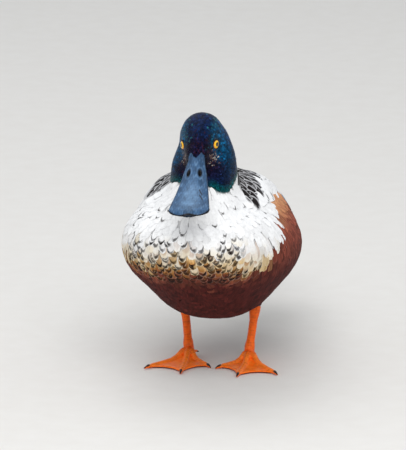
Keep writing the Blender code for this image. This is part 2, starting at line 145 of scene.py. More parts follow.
def merged(name, nodes, voxel, smooth, cuts=()):
    """CAD nodes run together into one even mesh.

    Each cut is (node, point, normal), and what lies beyond it is left out.
    """
    bm = bmesh.new()
    for node in nodes:
        part = bmesh.new()
        part.from_mesh(NODES[node].data)
        bmesh.ops.remove_doubles(part, verts=part.verts, dist=1e-6)
        for cut_node, point, normal in cuts:
            if cut_node == node:
                geom = part.verts[:] + part.edges[:] + part.faces[:]
                cut = bmesh.ops.bisect_plane(
                    part, geom=geom, dist=1e-6, plane_co=point, plane_no=normal, clear_outer=True
                )["geom_cut"]
                bmesh.ops.edgeloop_fill(part, edges=[e for e in cut if isinstance(e, bmesh.types.BMEdge)])
        part_mesh = bpy.data.meshes.new("part")
        part.to_mesh(part_mesh)
        part.free()
        bm.from_mesh(part_mesh)
    obj = object_of(name, bm)
    remesh = obj.modifiers.new("merge", "REMESH")
    remesh.mode = "VOXEL"
    remesh.voxel_size = voxel
    relax = obj.modifiers.new("relax", "SMOOTH")
    relax.factor = 0.5
    relax.iterations = smooth
    bpy.context.view_layer.update()
    graph = bpy.context.evaluated_depsgraph_get()
    merged_mesh = bpy.data.meshes.new_from_object(obj.evaluated_get(graph))
    obj.modifiers.clear()
    obj.data = merged_mesh
    return obj


# --- The head's own axes ---

HEAD_PITCH, HEAD_TURN, HEAD_TILT = -14.0, 5.0, 3.0
EYE_SEAT = (centre("eye_left") + centre("eye_right")) / 2
EYE_RADIUS = float((box("eye_left")[1] - box("eye_left")[0]).max() / 2)
HEAD = (
    Matrix.Translation(EYE_SEAT)
    @ Matrix.Rotation(math.radians(-90.0 + HEAD_TURN), 4, "Z")
    @ Matrix.Rotation(math.radians(-HEAD_PITCH), 4, "Y")
    @ Matrix.Rotation(math.radians(HEAD_TILT), 4, "X")
)  # forward +X, left +Y, up +Z, with 0 midway between the eyes
HEAD_ARRAY = np.array(HEAD)
# what carries a place in the bird's own layout, as part.py draws it, into the frame
EYE_SEAT_IN_LAYOUT = (0.0028, -0.086, 0.1851)
LAYOUT = EYE_SEAT - np.array(EYE_SEAT_IN_LAYOUT)


def to_head(p):
    return (p - HEAD_ARRAY[:3, 3]) @ HEAD_ARRAY[:3, :3]


def from_head(p):
    return p @ HEAD_ARRAY[:3, :3].T + HEAD_ARRAY[:3, 3]


TRUNK_WIDEST, TRUNK_AXIS_HEIGHT, BREAST_UP, TAIL_UP, RUMP_LENGTH = -0.030, 0.0975, 0.19, 0.010, 0.163


def trunk_axis(y):
    """Height of the trunk's long axis at a place along the bird."""
    y = y - LAYOUT[1]
    u = np.maximum(0.0, (y - TRUNK_WIDEST) / RUMP_LENGTH)
    return TRUNK_AXIS_HEIGHT - BREAST_UP * (y - TRUNK_WIDEST) + TAIL_UP * u * u


def trunk_angle(p):
    """Degrees round the trunk from straight up, positive to the bird's left."""
    return np.degrees(np.arctan2(p[..., 0], p[..., 2] - trunk_axis(p[..., 1])))


# --- The surface that the coat lies on ---

class Surface:
    """A mesh that can be asked for the nearest place on it, its normal there and the lie of the coat."""

    def __init__(self, points, corners):
        self.points, self.corners = points, corners
        self.tree = BVHTree.FromPolygons(points.tolist(), corners.tolist())
        a, b, c = (points[corners[:, k]] for k in range(3))
        across = np.cross(b - a, c - a)
        self.areas = np.linalg.norm(across, axis=1) / 2
        self.normals = unit(self.gathered(np.repeat(across, 3, axis=0)))
        sides = np.concatenate([corners[:, [0, 1]], corners[:, [1, 2]], corners[:, [2, 0]]])
        self.edges = np.unique(np.sort(sides, axis=1), axis=0)

    def gathered(self, values):
        """Values given at each corner of each triangle, summed at the points."""
        where = self.corners.reshape(-1)
        return np.stack([np.bincount(where, column, len(self.points)) for column in values.T], 1)

    def relaxed(self, values, rounds):
        """Values at the points, each averaged with its neighbours a number of times."""
        a, b = self.edges.T
        size = len(self.points)
        count = np.bincount(a, minlength=size) + np.bincount(b, minlength=size)
        for _ in range(rounds):
            near = [np.bincount(a, v[b], size) + np.bincount(b, v[a], size) for v in values.T]
            values = 0.4 * values + 0.6 * np.stack(near, 1) / np.maximum(count, 1)[:, None]
        return values

    def distances(self, sources):
        """How far each point is from the sources, along the surface."""
        a, b = self.edges.T
        length = np.linalg.norm(self.points[a] - self.points[b], axis=1)
        far = np.full(len(self.points), 9.0)
        far[sources] = 0.0
        for _ in range(900):
            new = far.copy()
            np.minimum.at(new, a, far[b] + length)
            np.minimum.at(new, b, far[a] + length)
            if np.array_equal(new, far):
                break
            far = new
        return far

    def set_lie(self, far):
        """The lie of the coat runs away from where far is 0."""
        far = self.relaxed(far[:, None], 12)[:, 0]
        a, b, c = (self.points[self.corners[:, k]] for k in range(3))
        up = np.cross(b - a, c - a)
        size = np.maximum(dot(up, up), 1e-20)
        sides = enumerate((c - b, a - c, b - a))
        slope = sum(np.cross(up, side) * far[self.corners[:, k], None] for k, side in sides) / size
        lie = self.gathered(np.repeat(unit(slope) * self.areas[:, None], 3, axis=0))
        for _ in range(3):
            lie = self.relaxed(unit(lie - self.normals * dot(lie, self.normals)), 12)
        self.lie = unit(lie - self.normals * dot(lie, self.normals))
        self.far = far

    def at(self, values, face, share):
        """Values of the points at places given by their triangles and their shares of its corners."""
        return np.einsum("nk,nkd->nd", share, values[self.corners[face]])

    def nearest(self, p):
        """The nearest place to each point: where, smooth normal, triangle and shares of its corners."""
        found = [self.tree.find_nearest(q) for q in p.reshape(-1, 3).tolist()]
        where = np.array([f[0] for f in found])
        face = np.array([f[2] for f in found])
        a, b, c = (self.points[self.corners[face, k]] for k in range(3))
        v0, v1, v2 = b - a, c - a, where - a
        d00, d01, d11 = (np.sum(x * y, 1) for x, y in ((v0, v0), (v0, v1), (v1, v1)))
        d20, d21 = np.sum(v2 * v0, 1), np.sum(v2 * v1, 1)
        scale = np.maximum(d00 * d11 - d01 * d01, 1e-24)
        v = (d11 * d20 - d01 * d21) / scale
        w = (d00 * d21 - d01 * d20) / scale
        share = np.stack([1 - v - w, v, w], 1)
        return where, unit(self.at(self.normals, face, share)), face, share

    def scatter(self, spacing, wanted, seed):
        """Random places no nearer than spacing to each other, where wanted is over a half."""
        local = np.random.default_rng(seed)
        gap = spacing[self.corners].mean(1)
        keep = wanted[self.corners].mean(1) > 0.5
        weight = np.where(keep, self.areas / gap ** 2, 0.0)
        tries = int(weight.sum() * 7)
        face = local.choice(len(weight), size=tries, p=weight / weight.sum())
        r1, r2 = np.sqrt(local.random(tries)), local.random(tries)
        share = np.stack([1 - r1, r1 * (1 - r2), r1 * r2], 1)
        where = self.at(self.points, face, share)
        gaps = self.at(spacing[:, None], face, share)[:, 0]
        cells = np.floor(where / gaps.max()).astype(int).tolist()
        places = where.tolist()
        grid, taken = {}, []
        around = [(i, j, k) for i in (-1, 0, 1) for j in (-1, 0, 1) for k in (-1, 0, 1)]
        for n, (cx, cy, cz) in enumerate(cells):
            x, y, z = places[n]
            reach = gaps[n] ** 2
            near = (q for i, j, k in around for q in grid.get((cx + i, cy + j, cz + k), ()))
            if all((x - q[0]) ** 2 + (y - q[1]) ** 2 + (z - q[2]) ** 2 >= reach for q in near):
                grid.setdefault((cx, cy, cz), []).append((x, y, z))
                taken.append(n)
        return where[taken], face[taken], share[taken]


BILL_BASE = 0.0225  # where the bill leaves the feathers, in front of the eyes
FLESH = ["trunk", "neck", "head", "thigh_left", "thigh_right", "wing_left", "wing_right", "tail"]
TAIL_CUT = 0.135  # where the hull's tail ends and the tail's own feathers go on
bill_cut = HEAD @ Vector((BILL_BASE + 0.007, 0, 0))
bill_way = (HEAD.to_3x3() @ Vector((1, 0, 0))).normalized()
hull_object = merged(
    "hull",
    FLESH + ["eye_left", "eye_right", "bill_upper", "bill_lower"],
    voxel=0.0016,
    smooth=4,
    cuts=[
        ("bill_upper", bill_cut, bill_way),
        ("bill_lower", bill_cut, bill_way),
        ("tail", Vector((0, TAIL_CUT, 0)), Vector((0, 1, 0))),
    ],
)
hull = Surface(*arrays(hull_object.data))
in_head = to_head(hull.points)


# bare horn in the head's axes: the feathers' tongue between its two corners, the corners, and its ends
TONGUE_HALF_WIDTH, TONGUE_TIP, TONGUE_LENGTH = 0.0048, 0.0254, 0.0078
CORNER_START, CORNER_HALF_WIDTH = 0.0205, 0.0068
HORN_HALF_WIDTH, HORN_BOTTOM, HORN_END = 0.012, -0.0145, 0.036


def on_bill(q):
    """Whether places in the head's axes are bare horn."""
    ahead, beside, above = q[..., 0], np.abs(q[..., 1]), q[..., 2]
    taper = np.clip((TONGUE_TIP - ahead) / TONGUE_LENGTH, 0, 1) ** 0.6
    tongue = (beside < TONGUE_HALF_WIDTH * taper) & (above > -0.003)
    corner = (above > -0.004) & (beside < CORNER_HALF_WIDTH)
    start = np.where(corner, CORNER_START, BILL_BASE - 0.001)
    inside = (beside < HORN_HALF_WIDTH) & (above > HORN_BOTTOM) & (ahead < HORN_END)
    return (ahead > start) & inside & ~tongue


hull.set_lie(hull.distances(np.nonzero(on_bill(in_head))[0]))


# --- Markings, and the head's painted sheen ---

WHITE = col(247, 247, 247)
CREAM = col(236, 226, 206)
BUFF = col(214, 186, 134)
GOLD = col(170, 116, 58)
TAN = col(230, 168, 118)
CHESTNUT = col(142, 72, 56)
MAROON = col(60, 14, 16)
CRESCENT = col(26, 16, 12)
MANTLE = col(30, 26, 26)
RUMP = col(12, 22, 20)
FRINGE = col(204, 204, 206)
NAVY = col(11, 29, 64)
TEAL = col(6, 86, 124)
VIOLET = col(52, 46, 124)
GREEN = col(4, 84, 88)
FACE = col(20, 15, 38)


def head_edge(p):
    """The height of the edge between the dark head and the white breast."""
    beside, back = np.abs(p[..., 0]), np.maximum(p[..., 1] + 0.103, 0.0)
    edge = 0.1590 - 0.0068 * ramp(beside, 0.010, 0.024) + 0.35 * back
    return np.minimum(edge, 0.160) + 0.0004 * noise(p, 0.006, 3)


def head_share(p, up=0.0):
    """1 on the dark head and neck, 0 on the body. up moves the edge between them up."""
    edge = head_edge(p) + up
    near = ramp(p[..., 1], -0.028, -0.036)
    return ramp(p[..., 2], edge - 0.0006, edge + 0.0006) * near


def head_colour_and_sheen(p):
    """The head's dark colour with its gloss as painted sheen: navy, with teal on the sides, violet behind
    and green at the neck's foot.
    """
    q = to_head(p)
    ahead, side, up = q[..., 0], np.abs(q[..., 1]), q[..., 2]
    # painted sheen: the gloss's teal, violet and green are laid on by place on the head, not by how the
    # light falls
    return layered(
        NAVY,
        (TEAL, ramp(side, 0.006, 0.012) * ramp(up, -0.028, 0.004) * ramp(ahead, 0.022, 0.004) * 0.9),
        (VIOLET, ramp(ahead, -0.002, -0.024) * ramp(up, 0.020, 0.004) * 0.5),
        (TEAL * 0.35, ramp(up, -0.020, -0.034) * ramp(ahead, 0.010, -0.010) * 0.7),
        (GREEN, ramp(p[..., 2] - head_edge(p), 0.008, 0.002) * ramp(side, 0.004, 0.012)),
        (FACE, ramp(ahead, 0.006, 0.014) * ramp(up, -0.022, -0.012) * 0.9),
    )


def side_edge(z):
    """How far back the white side of the breast reaches, at a height."""
    d = np.maximum(0.130 - z, 0.0)
    return -0.0435 - 0.85 * d - 11.0 * d * d - 1.3 * np.maximum(z - 0.130, 0.0)


def flank_top(y):
    """Degrees from straight up where the flank's feathers stop and the back's or the wing's begin."""
    return 51.0 - 4.5 * ramp(y, -0.050, 0.0) + 15.0 * ramp(y, 0.004, 0.060)


def mantle_edge(y):
    """Degrees from straight up where the dark mantle gives way to the white scapulars."""
    return 33.0 + 480.0 * np.clip(-0.045 - y, 0.0, 0.04)


def breast_height(p):
    """Height, put higher towards the sides, since the bands of the breast curve down there."""
    return p[..., 2] + 0.155 * np.abs(p[..., 0]) + 0.20 * np.maximum(p[..., 0] - 0.040, 0.0)


def on_mantle(p):
    """1 behind the front edge of the mantle, where the back's own markings begin."""
    return ramp(p[..., 1] + 0.0022 * noise(p, 0.005, 8), -0.084, -0.080)


BREAST_BANDS = (  # each colour, the height where it starts and the one where it has taken over
    (CREAM, 0.122, 0.110),
    (BUFF, 0.112, 0.103),
    (GOLD, 0.106, 0.098),
    (CHESTNUT * 0.8, 0.100, 0.093),
    (CHESTNUT * 0.42, 0.095, 0.086),
    (MAROON, 0.089, 0.077),
)


def body_ground(p):
    """The ground colour of the body's feathers."""
    y, z = p[..., 1], p[..., 2]
    angle = np.abs(trunk_angle(p))
    wobble = noise(p, 0.010, 5) * 0.0015
    low = breast_height(p) + wobble
    flank = ramp(y - side_edge(z) + wobble, -0.002, 0.002) * ramp(angle - flank_top(y), -1.5, 1.5)
    flank_colour = layered(TAN, (CHESTNUT, ramp(z, 0.134, 0.108)), (MAROON, 0.9 * ramp(z, 0.114, 0.072)))
    upper = ramp(angle - flank_top(y), 1.5, -1.5) * on_mantle(p)
    return layered(
        WHITE,
        *((colour, ramp(low, start, full)) for colour, start, full in BREAST_BANDS),
        (flank_colour, flank),
        (WHITE, ramp(y, 0.064, 0.069) * ramp(angle, 40, 50) * ramp(angle, 128, 112)),
        (WHITE, upper),
        (MANTLE, upper * ramp(angle - mantle_edge(y), 1.5, -1.5)),
        (RUMP, ramp(y, 0.045, 0.060) * ramp(angle, 66, 56)),
        (RUMP, ramp(y, 0.084, 0.088)),
    )


def plumage(p):
    return blend(body_ground(p), head_colour_and_sheen(p), head_share(p))


# --- Materials ---

def shader_of(name, values):
    """A new material, its node tree and its shader, with some of the shader's values set."""
    made = bpy.data.materials.new(name)
    made.use_nodes = True
    shader = made.node_tree.nodes["Principled BSDF"]
    for key, value in values.items():
        shader.inputs[key].default_value = value
    return made, made.node_tree, shader


def node(tree, kind, **settings):
    made = tree.nodes.new(kind)
    for key, value in settings.items():
        if key in made.inputs:
            made.inputs[key].default_value = value
        else:
            setattr(made, key, value)
    return made


def wire(tree, *ends):
    for out, into in ends:
        tree.links.new(out, into)


def mottled(tree, shader, scale, detail, darkest, lightest):
    """Wires the painted colours to the shader through a fine mottle. Returns the coordinates' node."""
    paint = node(tree, "ShaderNodeVertexColor", layer_name="paint")
    place = node(tree, "ShaderNodeTexCoord")
    speckle = node(tree, "ShaderNodeTexNoise", Scale=scale, Detail=detail)
    limits = {"From Min": 0.3, "From Max": 0.7, "To Min": darkest, "To Max": lightest}
    spread = node(tree, "ShaderNodeMapRange", **limits)
    scaled = node(tree, "ShaderNodeVectorMath", operation="SCALE")
    wire(
        tree,
        (place.outputs["Object"], speckle.inputs["Vector"]),
        (speckle.outputs["Fac"], spread.inputs["Value"]),
        (paint.outputs["Color"], scaled.inputs[0]),
        (spread.outputs["Result"], scaled.inputs["Scale"]),
        (scaled.outputs["Vector"], shader.inputs["Base Color"]),
    )
    return place


def embossed(tree, shader, place, texture, height, strength):
    """Wires a texture to the shader as a fine relief."""
    bump = node(tree, "ShaderNodeBump", Strength=strength, Distance=0.0002)
    wire(
        tree,
        (place, texture.inputs["Vector"]),
        (texture.outputs[height], bump.inputs["Height"]),
        (bump.outputs["Normal"], shader.inputs["Normal"]),
    )


def coat_material(name, roughness, metallic=0.0, specular=0.4, barbs=0.25, mottle=0.12):
    """Feathers: the painted markings, mottled a little, with barbs running out from each shaft."""
    values = {"Roughness": roughness, "Metallic": metallic, "Specular IOR Level": specular}
    made, tree, shader = shader_of(name, values)
    mottled(tree, shader, 420.0, 3.0, darkest=1.0 - mottle, lightest=1.0 + mottle * 0.5)
    if barbs:
        vane = node(tree, "ShaderNodeUVMap", uv_map="Vane")
        waves = node(tree, "ShaderNodeTexWave", Scale=6.0, Distortion=1.5, bands_direction="Y")
        embossed(tree, shader, vane.outputs["UV"], waves, "Fac", barbs)
    return made


def painted_material(name, roughness, scale, mottle, coat=0.0, bump=0.2, bump_scale=900.0, cells=False):
    """Skin, horn or a wet eye: painted, mottled, with a fine grain in relief."""
    wet = {"Coat Weight": coat, "Coat Roughness": 0.08}
    made, tree, shader = shader_of(name, {"Roughness": roughness, "Specular IOR Level": 0.22, **wet})
    place = mottled(tree, shader, scale, 4.0, darkest=1.0 - mottle, lightest=1.0 + mottle)
    if bump:
        kind, height = ("ShaderNodeTexVoronoi", "Distance") if cells else ("ShaderNodeTexNoise", "Fac")
        grain = node(tree, kind, Scale=bump_scale)
        embossed(tree, shader, place.outputs["Object"], grain, height, bump)
    return made


def horn_material(name, roughness=0.45):
    grain = {"bump": 0.25, "bump_scale": 1100.0, "cells": "leg" in name}
    return painted_material(name, roughness, scale=350.0, mottle=0.20, **grain)


def wet_material(name):
    return painted_material(name, roughness=0.12, scale=900.0, mottle=0.08, coat=1.0, bump=0.0)


MATT = coat_material("matt_feathers", roughness=0.85, specular=0.12, barbs=0.12, mottle=0.08)
SATIN = coat_material("satin_feathers", roughness=0.55, specular=0.35)
GLOSS = coat_material("glossy_feathers", roughness=0.38, metallic=0.85, specular=0.1, barbs=0.3, mottle=0.4)
SKIN = coat_material("down_and_skin", roughness=0.9, barbs=0.0)
CLAW = painted_material("claw_horn", roughness=0.35, scale=500.0, mottle=0.2)


# --- Vanes ---

VANE_PATCH = 0.003  # how long a feather's own patch is on the unwrap of the skin


class Vanes:
    """Feathers of one piece of the coat, as flat arrays that become one mesh."""

    def __init__(self):
        self.points, self.up, self.faces, self.paint, self.vane, self.bake = [], [], [], [], [], []
        self.count = 0

    def add(self, points, up, paint, s, t, root_uv):
        """Feathers whose points, normals and colours are feather x row x column x 3.

        s and t run along and across each vane. root_uv is where each root lies on the unwrap of the skin.
        """
        st = np.stack([t, s], -1)
        n, rows, columns = points.shape[:3]
        index = np.arange(n * rows * columns).reshape(n, rows, columns) + self.count
        quads = np.stack([index[:, :-1, :-1], index[:, :-1, 1:], index[:, 1:, 1:], index[:, 1:, :-1]], -1)
        facing = np.cross(points[:, 2, -1] - points[:, 2, 0], points[:, 3, 0] - points[:, 1, 0])
        if np.sum(facing * up[:, 2, 0]) < 0:
            quads = quads[..., ::-1]
        patch = root_uv[:, None, None, :] + VANE_PATCH * (st * (0.5, 1.0) - (0.0, 0.5))
        self.faces.append(quads.reshape(-1, 4))
        self.points.append(points.reshape(-1, 3))
        self.up.append(up.reshape(-1, 3))
        self.paint.append(paint.reshape(-1, 3))
        self.vane.append(st.reshape(-1, 2))
        self.bake.append(patch.reshape(-1, 2))
        self.count += n * rows * columns

    def piece(self, name, material, soften):
        """One mesh, shaded partly as the body under it, by the share soften."""
        points, faces = np.concatenate(self.points), np.concatenate(self.faces)
        obj = mesh_piece(name, points, faces, material)
        own = np.empty(points.size)
        obj.data.vertex_normals.foreach_get("vector", own)
        shaded = unit(mix(own.reshape(-1, 3), np.concatenate(self.up), soften))
        obj.data.normals_split_custom_set_from_vertices(shaded.tolist())
        painted(obj.data, np.concatenate(self.paint))
        corner = faces.reshape(-1)
        for layer, values in (("OFBake", self.bake), ("Vane", self.vane)):
            uv = obj.data.uv_layers.new(name=layer)
            uv.data.foreach_set("uv", np.concatenate(values)[corner].astype(np.float32).reshape(-1))
        print("coat", name, len(faces) * 2, "triangles")


def mesh_piece(name, points, faces, material, replaces=()):
    mesh = bpy.data.meshes.new(name)
    mesh.vertices.add(len(points))
    mesh.vertices.foreach_set("co", points.astype(np.float32).reshape(-1))
    sides = faces.shape[1]
    mesh.loops.add(faces.size)
    mesh.loops.foreach_set("vertex_index", faces.astype(np.int32).reshape(-1))
    mesh.polygons.add(len(faces))
    mesh.polygons.foreach_set("loop_start", np.arange(0, faces.size, sides, dtype=np.int32))
    mesh.polygons.foreach_set("loop_total", np.full(len(faces), sides, dtype=np.int32))
    mesh.update(calc_edges=True)
    mesh.shade_smooth()
    obj = link(bpy.data.objects.new(name, mesh))
    return dressed(obj, material, replaces)


def dressed(obj, material, replaces=()):
    """A piece with its material, riding the body's root, in place of the CAD nodes it replaces."""
    obj.data.materials.clear()
    obj.data.materials.append(material)
    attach(obj, "root")
    if replaces:
        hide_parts(*replaces)
    return obj


def painted(mesh, colours):
    layer = mesh.color_attributes.new(name="paint", type="FLOAT_COLOR", domain="POINT")
    full = np.ones((len(colours), 4), dtype=np.float32)
    full[:, :3] = np.clip(colours, 0.0, 1.0)
    layer.data.foreach_set("color", full.reshape(-1))


def unwrap(p, face, share, span=(0.06, 0.33)):
    """A place on an unwrap of the skin: round the body, and away from the bill over a span of metres."""
    angle = np.arctan2(p[:, 0] - 0.003, p[:, 2] - np.maximum(trunk_axis(p[:, 1]), 0.11) * 0.97)
    far = hull.at(hull.far[:, None], face, share)[:, 0]
    low, high = span
    along = np.clip((far - low) / (high - low), 0, 1)
    return np.stack([0.5 + 0.95 * angle / (2 * math.pi), 0.02 + 0.96 * along], 1)


CONTOUR_ROWS = np.array([0.0, 0.30, 0.52, 0.65, 0.74, 0.81, 0.87, 0.93, 1.0])
CONTOUR_COLUMNS = np.linspace(-1, 1, 9)
DOWN_ROWS = np.array([0.0, 0.45, 0.8, 1.0])
DOWN_COLUMNS = np.linspace(-1, 1, 5)


LONGEST_STEP = 0.008  # how far a vane runs before it looks for the surface again


def lay(root, face, share, length, half_width, depth, lift, rows, columns, turn=0.0, fray=0.03,
        slim=0.35, point=1.0, steer=0.7, heading=None, camber=0.06, over=0.0, sag=1.0):
    """Feathers laid on the hull from their roots along the lie of the coat.

    depth is how far under the surface a root is and lift how far over it a tip is. Returns points and
    the hull's normals, feather x row x column x 3, and the parameters s, t of the rows and columns.
    """
    n = len(root)
    length, half_width, depth, lift, over = (
        np.broadcast_to(v, n).astype(float) for v in (length, half_width, depth, lift, over)
    )
    way = hull.at(hull.lie, face, share) if heading is None else heading
    normal = unit(hull.at(hull.normals, face, share))
    way = unit(way - normal * dot(way, normal))
    spin = np.radians(turn) * rng.normal(size=(n, 1))
    way = way * np.cos(spin) + np.cross(normal, way) * np.sin(spin)
    at = root
    spots, normals, ways = [root], [normal], [way]
    for a, b in zip(rows, rows[1:]):
        step = (b - a) * length[:, None]
        parts = max(1, int(np.ceil(step.max() / LONGEST_STEP)))
        for _ in range(parts):
            at, normal, face_now, share_now = hull.nearest(at + way * step / parts)
            lie = hull.at(hull.lie, face_now, share_now)
            way = unit(way * (1 - steer * 0.25) + lie * steer * 0.25)
            way = unit(way - normal * dot(way, normal))
        spots.append(at)
        normals.append(normal)
        ways.append(way)
    spots, normals, ways = (np.stack(v, 1)[:, :, None, :] for v in (spots, normals, ways))
    sides = np.cross(normals, ways)
    s = rows[None, :, None]
    t = columns[None, None, :]
    # the outline: narrow at the root, widest past the middle, and each row drawn back to a round tip
    width = each(half_width) * (slim + (1 - slim) * np.sin(np.clip(s / 0.62, 0, 1) * math.pi / 2) ** 0.8)
    width = width * (1 - (1 - point) * ramp(s, 0.55, 1.0))
    sag = sag * each(half_width) * (0.10 + 0.90 * s ** 2) * (1 / np.maximum(point, 0.3)) ** 0.6
    ragged = 1.0 + fray * rng.normal(size=(n, len(rows), len(columns))) * ramp(s, 0.6, 1.0)
    out = width * np.sin(t * math.pi / 2)
    back = sag * (1 - np.cos(t * math.pi / 2)) - (ragged - 1.0) * each(length)
    level = spots + sides * out[..., None] - ways * back[..., None]
    where, up = (v.reshape(level.shape) for v in hull.nearest(level)[:2])
    # the height over the surface: sunk at the root, lifted at the tip and bowed from side to side
    rise = each(over) - each(depth) * (1 - s) ** 1.3 + each(lift) * s
    rise = rise - camber * each(half_width) * t ** 2 * (0.3 + 0.7 * s)
    rise = rise + 0.02 * each(half_width) * t + each(0.00005 * rng.normal(size=n)) * s
    shape = (n, len(rows), len(columns))
    return where + up * rise[..., None], up, np.broadcast_to(s, shape), np.broadcast_to(t, shape)


# --- Skin ---

def make_skin():
    """The hull drawn in by the coat's depth, and by less where the body is thin."""
    depth = np.clip(0.4 * MM + 0.010 * (hull.far - 0.004), 0.5 * MM, 1.0 * MM)
    inward = hull.points - hull.normals * 0.0002
    pairs = zip(inward.tolist(), hull.normals.tolist())
    hits = [hull.tree.ray_cast(p, (-n[0], -n[1], -n[2])) for p, n in pairs]
    thick = np.array([h[3] if h[0] is not None else 0.05 for h in hits])
    depth = hull.relaxed(np.minimum(depth, 0.36 * thick)[:, None], 3)
    points = hull.points - hull.normals * np.minimum(depth, 0.42 * thick[:, None])
    skin = mesh_piece("skin", points, hull.corners, SKIN, FLESH)
    painted(skin.data, plumage(hull.points) * 0.8)


# --- The coat ---

ON_HEAD = head_share(hull.points)
EYES = {1: centre("eye_left"), -1: centre("eye_right")}
AWAY_FROM_EYES = np.min([np.linalg.norm(hull.points - EYES[s], axis=1) for s in EYES], axis=0)
EYE_CLEARANCE = 0.0052  # points of the hull nearer than this to the middle of an eye carry no feather
FREE = ~on_bill(in_head) & (AWAY_FROM_EYES > EYE_CLEARANCE)


def near_nodes(names, reach):
    """Which points of the hull are within reach of some CAD nodes."""
    close = np.zeros(len(hull.points), bool)
    for name in names:
        points, corners = arrays(NODES[name].data)
        tree = BVHTree.FromPolygons(points.tolist(), corners.tolist())
        close |= np.array([tree.find_nearest(p, reach)[0] is not None for p in hull.points.tolist()])
    return close


REACH = 0.0012  # a point of the hull this near to a node belongs to it
ON_WING = near_nodes(["wing_left", "wing_right"], REACH) & ~near_nodes(["trunk", "tail"], REACH)


def tip_of(points):
    return points[:, -1, points.shape[2] // 2, :]


def clear_of_eyes(points):
    """Which feathers leave both eyes' openings bare."""
    clear = np.ones(len(points), bool)
    for side, middle in EYES.items():
        out = points - middle
        far = np.linalg.norm(out, axis=-1)
        turned = np.degrees(np.arccos(np.clip(out @ eye_axes(side)[2] / far, -1.0, 1.0)))
        clear &= ~((far < 1.6 * EYE_RADIUS) & (turned < EYE_OPENING + 3.0)).any(axis=(1, 2))
    return clear


def head_coat():
    """The small glossy feathers of head and neck, with painted glints on the crown's sides and the pale
    flecks of the lores.
    """
    edge = ramp(np.abs(hull.points[:, 2] - 0.157), 0.010, 0.003)
    face_part = ramp(in_head[:, 0], 0.004, 0.010)
    spacing = np.clip(0.85 * MM + 0.011 * hull.far, 0.85 * MM, 1.7 * MM)
    spacing = spacing * (1 - 0.30 * edge) * (1 - 0.18 * face_part)
    wanted = FREE & (head_share(hull.points, 0.0022) > 0.5)
    where, face, share = hull.scatter(spacing, wanted.astype(float), seed=21)
    gap = hull.at(spacing[:, None], face, share)[:, 0]
    raised = 0.0007 * ramp(to_head(where)[:, 0], 0.0150, 0.0180)
    points, up, s, t = lay(
        where, face, share, length=gap * 2.9, half_width=gap * 0.80, depth=gap * 0.30, lift=gap * 0.10,
        rows=DOWN_ROWS, columns=DOWN_COLUMNS, turn=7.0, fray=0.05, slim=0.4, over=raised,
    )
    keep = clear_of_eyes(points) & ~on_bill(to_head(points)).any(axis=(1, 2))
    points, up, s, t, where, face, share = (v[keep] for v in (points, up, s, t, where, face, share))
    n = len(where)
    ahead, side, above = to_head(where).T
    side = np.abs(side)
    lores = bump_at(ahead, 0.013, 0.009) * ramp(side, 0.006, 0.009) * bump_at(above, -0.0050, 0.0070)
    pale = each(rng.random(n) < lores * 0.62)
    rust = np.broadcast_to(col(106, 62, 54), (n, 3))
    fleck = blend(rust, col(212, 208, 198), rng.random(n) ** 2.2)[:, None, None, :]
    tone = np.exp(0.50 * rng.normal(size=n)).clip(0.3, 3.2)
    browed = ramp(ahead, 0.000, 0.008) * ramp(above, -0.016, -0.010) * ramp(above, 0.014, 0.008)
    warm = each(rng.random(n) < 0.22 * browed)
    # painted highlights: light teal glints along the shafts of some feathers on the crown's sides
    painted_glint = each(rng.random(n) < 0.16 * ramp(side, 0.003, 0.009) * ramp(above, 0.000, 0.006))
    shaft = ramp(np.abs(t), 0.7, 0.3) * ramp(s, 0.3, 0.6)
    paint = layered(
        np.broadcast_to((head_colour_and_sheen(where) * tone[:, None])[:, None, None, :], points.shape),
        (col(58, 26, 36), 0.8 * warm * shaft),
        (col(52, 128, 134), 0.8 * painted_glint * shaft),
        (fleck, pale * ramp(np.abs(t), 0.75, 0.25) * ramp(s, 0.2, 0.5)),
    )
    coat = Vanes()
    uv = unwrap(where, face, share, (0.0, 0.13))
    coat.add(points, unit(up + 0.10 * rng.normal(size=(n, 1, 1, 3))), paint, s, t, uv)
    coat.piece("coat_head", GLOSS, soften=0.7)


